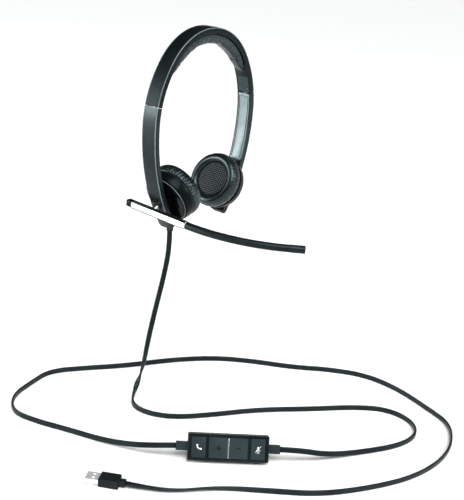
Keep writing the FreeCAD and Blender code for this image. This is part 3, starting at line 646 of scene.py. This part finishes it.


# The bead is satin ABS coloured pale grey: a painted highlight standing in for the thin line of light along
# the edge.
painted_highlight_abs = moulded_abs("painted_highlight_grey", "465153", "6d797b", 0.3, 0.3, 0.06, 0.5)
for side, side_name in ((-1, "right"), (1, "left")):
    bead_stops = [side * a for a in spread(ARM_TOP + 0.3, ARM_LOW, 2.0)]
    edge_beads(side_name + "_arm_bead", bead_stops, side_name + "_arm", painted_highlight_abs)

# A thin near-black strip frames each inner panel, a little inside its edges and rounded at its top: painted
# shade standing in for a fine groove.
PANEL_D = 6.2
PANEL_TOP = at_side_angle(10.0)
PANEL_LOW = at_side_angle(-16.2)
# Near-black ABS used as painted shade in grooves and recesses.
painted_shade_black = moulded_abs("painted_shade_groove", "08090a", "101112", 0.6, 0.4)
GROOVE_Y = 5.1
GROOVE_W = 0.8
GROOVE_LOW_D = PANEL_D - 0.15
GROOVE_TOP_D = PANEL_D + 0.04
GROOVE_TOP = PANEL_TOP + 2.25
GROOVE_TURN = PANEL_TOP + 2.6
GROOVE_END = PANEL_LOW - 1.0
for side, side_name in ((-1, "right"), (1, "left")):
    arm_body = side_name + "_arm"
    groove_stops = [side * a for a in spread(GROOVE_TURN, GROOVE_END, 2.5)]
    for edge, edge_name in ((-1, "front"), (1, "back")):
        near_y = edge * GROOVE_Y
        far_y = edge * (GROOVE_Y + GROOVE_W)
        groove = [(near_y, GROOVE_LOW_D), (near_y, GROOVE_TOP_D), (far_y, GROOVE_TOP_D),
                  (far_y, GROOVE_LOW_D)]
        strip_skin(f"{side_name}_panel_groove_{edge_name}", groove, groove_stops, arm_body,
                   painted_shade_black)
    top = [(-GROOVE_Y, GROOVE_LOW_D), (-GROOVE_Y, GROOVE_TOP_D), (GROOVE_Y, GROOVE_TOP_D),
           (GROOVE_Y, GROOVE_LOW_D)]
    strip_skin(side_name + "_panel_groove_top", top, [side * GROOVE_TOP, side * GROOVE_TURN], arm_body,
               painted_shade_black)

# ---- Headband ----
# A sprung steel strip inside a moulded channel that is wrapped in black leatherette, with a padded
# cushion below and an ABS cover screwed over the inside of each end.


def leatherette(name, dark, light_tone, roughness, grain_mm, shine):
    """Polyurethane leatherette: embossed pebble grain, with a low waxy sheen on its raised parts."""
    made, tree, shader = new_material(name, Roughness=roughness, Specular_IOR_Level=shine)
    shader.inputs["Specular Tint"].default_value = linear(COOL)
    coords = add(tree, "ShaderNodeTexCoord").outputs["Object"]
    wander = add(tree, "ShaderNodeTexNoise", {"Vector": coords, "Scale": 350.0, "Detail": 2.0})
    bent = add(tree, "ShaderNodeMix", {0: 0.0012, 6: coords, 7: wander.outputs["Color"]},
               data_type="RGBA", blend_type="ADD")
    pebble = add(tree, "ShaderNodeTexVoronoi",
                 {"Vector": bent.outputs[2], "Scale": 1 / (grain_mm * MM)}, feature="SMOOTH_F1")
    broad = add(tree, "ShaderNodeTexNoise", {"Vector": coords, "Scale": 40.0, "Detail": 4.0})
    tone = add(tree, "ShaderNodeValToRGB", {"Fac": broad.outputs["Fac"]},
               stops=((0.35, dark), (0.7, light_tone)))
    gloss = add(tree, "ShaderNodeMapRange",
                {"Value": pebble.outputs["Distance"], "From Max": 0.7, "To Min": roughness - 0.06,
                 "To Max": roughness + 0.12})
    bump = add(tree, "ShaderNodeBump",
               {"Height": pebble.outputs["Distance"], "Strength": 0.22, "Distance": 0.08 * MM}, invert=True)
    return joined(made, tone, gloss, bump)


# The wrap is stretched tight and nearly matt. The covers are plain ABS with black-plated screws.
wrap = leatherette("black_band_leatherette", "060809", "0e1213", 0.42, 0.8, 0.16)
band = strip_skin("band_wrap", channel_section(1.3, 1.9, 0.25), spread(-SEAM, SEAM, 2.0), "headband",
                  wrap)
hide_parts("band_outer")
# The band's beads carry the same pale painted highlight along its edges.
edge_beads("band_bead", spread(-SEAM, SEAM, 2.0), "headband", painted_highlight_abs)
moulding("band_liner", black_abs, 0.2)
moulding("band_spring", spring_steel, 0.1)
cover_abs = moulded_abs("dark_end_cover_abs", "1c2426", "2b3436", 0.4, 0.3)
zinc = metal("black_zinc_screws", "101213", "26292b", 0.3, scale=900.0)
for side_name in ("right", "left"):
    moulding(side_name + "_end_cover", cover_abs, 0)
moulding("end_cover_screws", zinc, 0.12)

# Each screw is drawn as flat marks: a black ring of painted shade for its counterbore, a paler disc of
# painted highlight for its head, and a black cross of painted shade for its recess.
SCREW_ANGLE = 13.5
SCREW_Y = 4.7
# The heads' paler zinc is a painted highlight on the dark screws.
painted_highlight_zinc = metal("painted_highlight_screw_heads", "4a5355", "6b7476", 0.35, scale=900.0)
# Each mark has its outlines, its height in mm, its slot and its material.
SCREW_MARKS = (
    ("bore", [arc_points(0, 0, 1.9, 0, 360, 24)[:-1]], 0.03, "inner", painted_shade_black),
    ("head", [arc_points(0, 0, 1.2, 0, 360, 24)[:-1]], 0.07, "steel", painted_highlight_zinc),
    ("cross", [bar(-0.8, 0, 0.8, 0, 0.35), bar(0, -0.8, 0, 0.8, 0.35)], 0.1, "inner", painted_shade_black),
)
for side, side_name in ((-1, "right"), (1, "left")):
    along = side * at_side_angle(SCREW_ANGLE)
    for y in (-SCREW_Y, SCREW_Y):
        centre = hoop(along, y, HOOP_T)
        inward = (hoop(along, y, HOOP_T + 1.0) - centre).normalized()
        forward = Vector((0, 1, 0))
        axes = Matrix((forward.cross(inward), forward, inward)).transposed().to_4x4()
        place = Matrix.Translation(centre * MM) @ axes
        label = f"{side_name}_screw_{'front' if y < 0 else 'back'}"
        for part, outlines, lift, slot, finish in SCREW_MARKS:
            raised_outline(f"{label}_{part}", outlines, place, lift, "headband", finish)

# ---- Band cushion ----
# Foam in leatherette, fullest over the crown and rounded off at its ends. The cover is gathered into
# a seam along each long edge, which leaves short creases across it.

PAD_HALF_LENGTH = at_side_angle(24.5) - 0.5
PAD_HALF_Y = 7.5
PAD_T = 9.3
PAD_BASE = HOOP_T + 0.1
PAD_FACE = 17
PAD_BACK = 5
PAD_LOOP = PAD_FACE + PAD_BACK
PAD_MID_R = 56.0
PAD_MID_DROP = 8.0
PAD_PLUMP = 0.15
GATHER_Y = 2.2
GATHER_WIDTH = 4.4
GATHER_END = 80
GATHER_FADE = 28
rng = np.random.default_rng(7)


def creases(run, across, first, last, gaps, depths, widths, lean):
    """Creases across a gathered cover, at uneven places along it, each with its own depth and lean."""
    total = np.zeros(len(run))
    place = first + rng.uniform(0, gaps[0])
    while place < last:
        wide = rng.uniform(*widths)
        at = place + rng.uniform(-lean, lean) * across
        total -= rng.uniform(*depths) * np.exp(-((run - at) / wide) ** 2)
        place += rng.uniform(*gaps)
    return total


# Cloth settles well at about a metre across, so a cover is enlarged for it and then shrunk back.
CLOTH_SCALE = 20.0
CLOTH_FRAMES = 16


def inflate(mesh, pinned, pressure, slack, most):
    """Blows a closed cover up with cloth simulation, holding its seams. No point moves beyond most."""
    start = np.array([v.co for v in mesh.vertices])
    copy = mesh.copy()
    copy.transform(Matrix.Scale(CLOTH_SCALE, 4))
    cover = bpy.data.objects.new("cover", copy)
    bpy.context.scene.collection.objects.link(cover)
    cover.vertex_groups.new(name="seams").add(pinned, 1.0, "REPLACE")
    cloth = cover.modifiers.new("cloth", "CLOTH")
    cloth.settings.quality = 6
    cloth.settings.mass = 0.15
    cloth.settings.tension_stiffness = 10
    cloth.settings.compression_stiffness = 10
    cloth.settings.shear_stiffness = 5
    cloth.settings.bending_stiffness = 0.15
    cloth.settings.use_pressure = True
    cloth.settings.uniform_pressure_force = pressure
    cloth.settings.shrink_min = -slack
    cloth.settings.vertex_group_mass = "seams"
    cloth.settings.effector_weights.gravity = 0
    cloth.point_cache.frame_end = CLOTH_FRAMES
    for number in range(1, CLOTH_FRAMES + 1):
        bpy.context.scene.frame_set(number)
    moved = cover.evaluated_get(bpy.context.evaluated_depsgraph_get()).to_mesh()
    end = np.array([v.co for v in moved.vertices]) / CLOTH_SCALE
    bpy.context.scene.frame_set(1)
    bpy.data.objects.remove(cover)
    step = end - start
    far = np.linalg.norm(step, axis=1, keepdims=True)
    step *= np.minimum(1.0, most / np.maximum(far, 1e-9))
    mesh.vertices.foreach_set("co", (start + step).astype(np.float32).ravel())
    mesh.update()


def refine(mesh, levels):
    """The mesh after smooth subdivision, ready for creases finer than its cage."""
    holder = bpy.data.objects.new("refined", mesh)
    bpy.context.scene.collection.objects.link(holder)
    smooth = holder.modifiers.new("smooth", "SUBSURF")
    smooth.levels = levels
    smooth.render_levels = levels
    finer = as_mesh(holder)
    bpy.data.objects.remove(holder)
    return finer


def pad_ring(along):
    """One loop round the pad: flat against the liner, full and rounded towards the head."""
    share = min(abs(along) / PAD_HALF_LENGTH, 0.9995)
    thick = PAD_T * (1 - share ** 3.2) ** 0.714
    half = PAD_HALF_Y * (1 - share ** 9) ** 0.5
    points = []
    for i in range(PAD_FACE):
        a = math.pi * i / (PAD_FACE - 1)
        across = half * math.copysign(abs(math.cos(a)) ** 0.62, math.cos(a))
        points.append(hoop(along, across, PAD_BASE + thick * math.sin(a) ** 0.7) * MM)
    for i in range(1, PAD_BACK + 1):
        points.append(hoop(along, -half + half * 2 * i / (PAD_BACK + 1), PAD_BASE) * MM)
    return points


pad_stops = [PAD_HALF_LENGTH * math.sin(math.pi / 2 * t) for t in np.linspace(-1, 1, 91)]
even_stops = np.linspace(-PAD_HALF_LENGTH, PAD_HALF_LENGTH, 91)
pad_stops = [0.35 * a + 0.65 * b for a, b in zip(pad_stops, even_stops)]
pad_rings = [pad_ring(a) for a in pad_stops]
pad_mesh = loft("band_pad", pad_rings)
seam_points = [i for i in range(len(pad_mesh.vertices))
               if i % PAD_LOOP == 0 or i % PAD_LOOP >= PAD_FACE - 1]
inflate(pad_mesh, seam_points, pressure=2.2, slack=0.05, most=0.4 * MM)
pad_mesh = refine(pad_mesh, 2)
normals = np.array([v.normal for v in pad_mesh.vertices])
places = np.array([v.co for v in pad_mesh.vertices]) / MM
run = np.arctan2(places[:, 0], places[:, 2] - CROWN_Z + PAD_MID_DROP) * PAD_MID_R
for edge in (-1, 1):
    seam_share = np.clip((edge * places[:, 1] - GATHER_Y) / GATHER_WIDTH, 0, 1) ** 1.3
    cuts = creases(run, edge * places[:, 1], first=-86, last=86, gaps=(1.9, 4.2), depths=(0.1, 0.42),
                   widths=(0.35, 0.7), lean=0.3)
    lift = (cuts + PAD_PLUMP) * seam_share * np.clip((GATHER_END - np.abs(run)) / GATHER_FADE, 0, 1)
    inner = normals[:, 1] * edge > -0.3
    places += normals * (lift * inner)[:, None]
pad_mesh.vertices.foreach_set("co", (places * MM).astype(np.float32).ravel())
smooth(pad_mesh)
# The pad's leatherette is polished by hair and skin, so its folds catch the light.
pad_cover = leatherette("black_pad_leatherette", "0e1314", "1a2224", 0.28, 0.75, 0.5)
pad = new_piece("band_pad", pad_mesh, "headband", pad_cover)
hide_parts("band_cushion")

# ---- Ear cups ----
# Each cup is a shallow ABS bowl with a gloss disc on its back. In front, a baffle carries the driver
# behind a woven mesh, inside a ring of foam in gathered leatherette. The cup tilts on a steel
# pin through a barrel that turns in the arm.

CUP_ANGLE = math.radians(-26)
MESH_R = 152.0
CUSHION_HOLE = 17.6
CUSHION_BACK = 10.0
CUSHION_R = 27.0
CUSHION_PLUMP = 0.22
ROLL_R = 22.1
ROLL_HALF_W = 4.6
ROLL_D = 1.2
ROLL_HALF_D = 4.4


def cup_place(side):
    """From the cup's own axes, Z outwards from the mesh, to the headset's."""
    out = Vector((side * math.cos(CUP_ANGLE), 0, math.sin(CUP_ANGLE)))
    along = Vector((-side * math.sin(CUP_ANGLE), 0, math.cos(CUP_ANGLE)))
    centre = Vector((side * (HALF_WIDTH - LOWER_R), 0, WIDEST_Z)) + out * MESH_R
    turned = Matrix((along.cross(out), along, out)).transposed().to_4x4()
    return Matrix.Translation(centre * MM) @ turned


def ring_profile():
    """Half section of the cushion, from its inner lip over the front roll and side to its back."""
    points = [(CUSHION_HOLE, 4.2), (CUSHION_HOLE - 0.1, 2.6)]
    for i in range(13):
        a = math.radians(180 + 14 * i)
        points.append((ROLL_R + ROLL_HALF_W * math.cos(a), ROLL_D + ROLL_HALF_D * math.sin(a)))
    points += [(27.1, 1.9), (27.5, 3.6), (27.5, 5.4), (27.3, 7.2), (26.9, 8.7), (26.4, CUSHION_BACK)]
    points += [(23.0, CUSHION_BACK), (19.6, CUSHION_BACK), (CUSHION_HOLE, CUSHION_BACK), (CUSHION_HOLE, 6.0)]
    return points


profile = ring_profile()
AROUND = 128
cushion_rings = []
for i in range(AROUND):
    a = 2 * math.pi * i / AROUND
    cushion_rings.append([Vector((r * math.cos(a), r * math.sin(a), d)) * MM for r, d in profile])
count = len(profile)
ring_faces = []
for i in range(AROUND):
    for j in range(count):
        a, b = i * count + j, i * count + (j + 1) % count
        c, d = ((i + 1) % AROUND) * count + (j + 1) % count, ((i + 1) % AROUND) * count + j
        ring_faces.append((a, b, c, d))
cushion_base = bpy.data.meshes.new("cushion_base")
cushion_base.from_pydata([tuple(p) for ring in cushion_rings for p in ring], [], ring_faces)
face_out(cushion_base)
held = [i for i in range(AROUND * count) if i % count < 2 or i % count >= count - 5]
inflate(cushion_base, held, pressure=1.6, slack=0.04, most=0.7 * MM)
cushion_base = refine(cushion_base, 2)
# The cushions' leatherette is darker than the pad's and a little smoother.
cushion_cover = leatherette("black_cushion_leatherette", "070a0b", "0f1516", 0.27, 0.7, 0.55)


def creased_cushion(name):
    """A copy of the ring with its own creases round its side, where the cover is gathered."""
    mesh = cushion_base.copy()
    mesh.name = name
    normals = np.array([v.normal for v in mesh.vertices])
    places = np.array([v.co for v in mesh.vertices]) / MM
    radius = np.hypot(places[:, 0], places[:, 1])
    run = (np.arctan2(places[:, 1], places[:, 0]) + math.pi) * CUSHION_R
    round_length = 2 * math.pi * CUSHION_R
    depth = places[:, 2]
    # The creases are deepest at the back seam, and fade out before the front roll.
    back = np.clip((depth + 2.6) / 6.0, 0, 1) ** 1.3 * np.clip((radius - 23.0) / 2.5, 0, 1)
    cuts = creases(run, depth - 9.0, first=0.8, last=round_length - 0.8, gaps=(2.1, 4.4),
                   depths=(0.3, 0.95), widths=(0.4, 0.8), lean=0.14)
    places += normals * ((cuts + CUSHION_PLUMP) * back)[:, None]
    mesh.vertices.foreach_set("co", (places * MM).astype(np.float32).ravel())
    smooth(mesh)
    return mesh


def woven_cloth(name):
    """Black polyester mesh, woven open: near black in its holes, and grey on its raised crossings as a
    painted highlight.
    """
    made, tree, shader = new_material(name, Roughness=0.55, Specular_IOR_Level=0.12)
    coords = add(tree, "ShaderNodeTexCoord").outputs["UV"]
    thread = add(tree, "ShaderNodeTexWave",
                 {"Vector": coords, "Scale": 220.0, "Distortion": 0.5, "Detail": 1.0},
                 bands_direction="DIAGONAL")
    fuzz = add(tree, "ShaderNodeTexNoise", {"Vector": coords, "Scale": 2500.0, "Detail": 2.0})
    height_value = add(tree, "ShaderNodeAttribute", attribute_name="weave").outputs["Fac"]
    # The raised crossings are coloured paler than the holes: a painted highlight on the weave.
    tone = add(tree, "ShaderNodeValToRGB", {"Fac": height_value},
               stops=((0.56, "030404"), (0.74, "485153")))
    mixed = add(tree, "ShaderNodeMath", {0: thread.outputs["Fac"], 1: fuzz.outputs["Fac"]}, operation="ADD")
    bump = add(tree, "ShaderNodeBump",
               {"Height": mixed.outputs["Value"], "Strength": 0.3, "Distance": 0.05 * MM})
    tree.links.new(tone.outputs["Color"], shader.inputs["Base Color"])
    tree.links.new(bump.outputs["Normal"], shader.inputs["Normal"])
    return made


weave_cloth = woven_cloth("black_woven_mesh")
WEAVE_PITCH = 4.2
WEAVE_LIFT = 0.35
MESH_EDGE_R = 17.5
DOME_LIFT = 0.3
WEAVE_STEPS = 150


def weave_disc(name):
    """The driver's mesh: a shallow dome with its diagonal weave raised on it."""
    values = np.linspace(-1, 1, WEAVE_STEPS + 1)
    vertices, heights, uvs = [], [], []
    for v in values:
        for u in values:
            x = u * math.sqrt(1 - v * v / 2) * MESH_EDGE_R
            y = v * math.sqrt(1 - u * u / 2) * MESH_EDGE_R
            r = math.hypot(x, y) / MESH_EDGE_R
            warp = math.sin(2 * math.pi * (x + y) / WEAVE_PITCH)
            wave = warp * math.sin(2 * math.pi * (x - y) / WEAVE_PITCH)
            dome = r * r - DOME_LIFT
            vertices.append((x * MM, y * MM, (dome - WEAVE_LIFT * max(0.0, wave) * (1 - r ** 12)) * MM))
            heights.append(0.5 + 0.5 * wave)
            uvs.append((x * MM, y * MM))
    faces = []
    for row in range(WEAVE_STEPS):
        for column in range(WEAVE_STEPS):
            a = row * (WEAVE_STEPS + 1) + column
            faces.append((a, a + WEAVE_STEPS + 1, a + WEAVE_STEPS + 2, a + 1))
    mesh = bpy.data.meshes.new(name)
    mesh.from_pydata(vertices, [], faces)
    mesh.attributes.new("weave", "FLOAT", "POINT").data.foreach_set("value", heights)
    layer = mesh.uv_layers.new(name="UVMap")
    for loop in mesh.loops:
        layer.data[loop.index].uv = uvs[loop.vertex_index]
    smooth(mesh)
    return mesh


def turned_mesh(name, profile_points, steps=128):
    """A ring turned about its own Z from a closed section of (radius, depth) corners in mm."""
    mesh = bpy.data.meshes.new(name)
    size = len(profile_points)
    corners = [(r * MM, 0, d * MM) for r, d in profile_points]
    mesh.from_pydata(corners, [(i, (i + 1) % size) for i in range(size)], [])
    holder = bpy.data.objects.new(name, mesh)
    bpy.context.scene.collection.objects.link(holder)
    screw = holder.modifiers.new("turned", "SCREW")
    screw.steps = steps
    screw.render_steps = steps
    screw.use_merge_vertices = True
    screw.merge_threshold = 0.01 * MM
    made = as_mesh(holder)
    bpy.data.objects.remove(holder)
    face_out(made)
    smooth(made)
    made.set_sharp_from_angle(angle=SWEPT_EDGE)
    return made


# Polished black ABS: nearly a black mirror, clouded a little by handling.
gloss_black, gloss_tree, gloss_shader = new_material("gloss_black_abs", Roughness=0.12,
                                                     Specular_IOR_Level=0.16)
gloss_coords = add(gloss_tree, "ShaderNodeTexCoord").outputs["Object"]
gloss_noise = add(gloss_tree, "ShaderNodeTexNoise", {"Vector": gloss_coords, "Scale": 90.0, "Detail": 3.0})
gloss_tone = add(gloss_tree, "ShaderNodeValToRGB", {"Fac": gloss_noise.outputs["Fac"]},
                 stops=((0.3, "050506"), (0.7, "0b0c0d")))
gloss_rough = add(gloss_tree, "ShaderNodeMapRange",
                  {"Value": gloss_noise.outputs["Fac"], "To Min": 0.08, "To Max": 0.2})
gloss_tree.links.new(gloss_tone.outputs["Color"], gloss_shader.inputs["Base Color"])
gloss_tree.links.new(gloss_rough.outputs["Result"], gloss_shader.inputs["Roughness"])
# The bowl's ABS is dull beside the disc, and the magnet is plated steel.
bowl_abs = moulded_abs("blue_black_bowl_abs", "040606", "0a0f10", 0.3, 0.3, shine=0.08)
ferrite = metal("driver_magnet_steel", "6a6c70", "9a9ca0", 0.35, scale=600.0)
DISC_RIM = [(24.3, 20.3), (24.6, 20.3), (24.6, 20.65), (24.3, 20.95)]
LIP_RING = [(16.8, 0.35), (17.3, 0.1), (17.75, 0.4), (17.75, 1.4), (16.9, 1.2)]
for side, side_name in ((-1, "right"), (1, "left")):
    body = side_name + "_cup"
    place = cup_place(side)
    ring_mesh = creased_cushion(side_name + "_cushion")
    ring_mesh.transform(place)
    ring = new_piece(side_name + "_cushion", ring_mesh, body, cushion_cover)
    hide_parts(side_name + "_ear_cushion")
    cloth_mesh = weave_disc(side_name + "_driver_mesh")
    cloth_mesh.transform(place)
    cloth_piece = new_piece(side_name + "_driver_mesh", cloth_mesh, body, weave_cloth)
    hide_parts(side_name + "_speaker_mesh")
    lip_mesh = turned_mesh(side_name + "_lip_ring", LIP_RING)
    lip_mesh.transform(place)
    new_piece(side_name + "_lip_ring", lip_mesh, body, black_abs)
    # The pale rim round the disc is a painted highlight along the disc's edge.
    rim_mesh = turned_mesh(side_name + "_disc_rim", DISC_RIM)
    rim_mesh.transform(place)
    new_piece(side_name + "_disc_rim", rim_mesh, body, painted_highlight_abs)
    moulding(side_name + "_cup_housing", bowl_abs, 0.3)
    moulding(side_name + "_cup_disc", gloss_black, 0.2)
    moulding(side_name + "_speaker_baffle", black_abs, 0.2)
    moulding(side_name + "_driver_frame", black_nylon, 0.1)
    moulding(side_name + "_driver_magnet", ferrite, 0.3)
    moulding(side_name + "_swivel_barrel", black_nylon, 0.2)
    moulding(side_name + "_tilt_pin", spring_steel, 0.1)

# ---- Microphone boom ----
# A steel hub pin turns stiffly in a nylon bush in the right arm, and carries an ABS bar faced with
# brushed aluminium. A rubber-sheathed tube bends from it to the microphone's tip.

HUB_R = 193.0
BOOM_SLOPE = 2.3
BOOM_FRONT = 43.5
TUBE_D = 7.3
TUBE_BEND_R = 143.0
TUBE_BEND = 41.8
TUBE_STEPS = 48
TUBE_SIDES = 28
TRIM_FACE = -3.4
TRIM_END = -25.7
LIP_Y = 3.05
hub_x = -(HALF_WIDTH - LOWER_R + HUB_R * math.cos(CUP_ANGLE))
hub_centre = Vector((hub_x, 0, WIDEST_Z + HUB_R * math.sin(CUP_ANGLE)))
slope = math.radians(BOOM_SLOPE)
boom_axes = Matrix(((0, -math.cos(slope), -math.sin(slope)), (1, 0, 0),
                    (0, -math.sin(slope), math.cos(slope))))
BOOM_PLACE = Matrix.Translation(hub_centre * MM) @ boom_axes.transposed().to_4x4()

# Black ABS, brushed aluminium with its lines along the bar, and dull rubber on the tube.
boom_black = moulded_abs("black_boom_abs", "0a0e0f", "161c1d", 0.3, 0.3)
boom_silver = metal("brushed_boom_aluminium", "c9cdcd", "e2e5e5", 0.42, (1.0, 0.03, 1.0), 2600.0)
boom_rubber = soft_pvc("boom_rubber_sheath", "090c0d", "121718", 0.4, 0.5)
moulding("boom_bush", black_nylon, 0.15)
moulding("boom_hub", spring_steel, 0.2)
moulding("boom_carrier", boom_black, 0.15)
moulding("boom_trim", boom_silver, 0.15)
moulding("boom_end_cap", gloss_black, 0.4)
tube_rings = []
for i in range(TUBE_STEPS + 1):
    a = math.radians(TUBE_BEND * i / TUBE_STEPS)
    centre = Vector((BOOM_FRONT + TUBE_BEND_R * math.sin(a), TUBE_BEND_R * (1 - math.cos(a)), 0))
    outward = Vector((math.sin(a), -math.cos(a), 0))
    loop = []
    for j in range(TUBE_SIDES):
        t = 2 * math.pi * j / TUBE_SIDES
        spoke = outward * math.cos(t) + Vector((0, 0, 1)) * math.sin(t)
        loop.append(BOOM_PLACE @ ((centre + spoke * TUBE_D / 2) * MM))
    tube_rings.append(loop)
tube_mesh = loft("boom_flexible_tube", tube_rings)
tube_mesh.set_sharp_from_angle(angle=math.radians(50))
tube = new_piece("boom_flexible_tube", tube_mesh, "boom", boom_rubber)
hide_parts("boom_tube")
moulding("mic_tip", boom_black, 0.5, segments=3)
moulding("mic_capsule", gilt, 0.1)

# A black lip borders the trim above and below.
lip_place = BOOM_PLACE @ Matrix.Translation(Vector((0, TRIM_FACE, 0)) * MM) @ face_up
lips = [bar(TRIM_END, edge * LIP_Y, BOOM_FRONT, edge * LIP_Y, 0.55) for edge in (-1, 1)]
raised_outline("boom_trim_lips", lips, lip_place, 0.12, "boom", boom_black)

# A bright collar closes the bar where the tube enters it.
COLLAR = [(2.8, -0.2), (3.9, -0.2), (4.05, 0.0), (4.05, 1.0), (3.9, 1.2), (2.8, 1.2)]
collar_mesh = turned_mesh("boom_collar", COLLAR, 64)
collar_mesh.transform(BOOM_PLACE @ Matrix.Translation(Vector((BOOM_FRONT, 0, 0)) * MM) @ turn("Y", 90))
new_piece("boom_collar", collar_mesh, "boom", boom_silver)
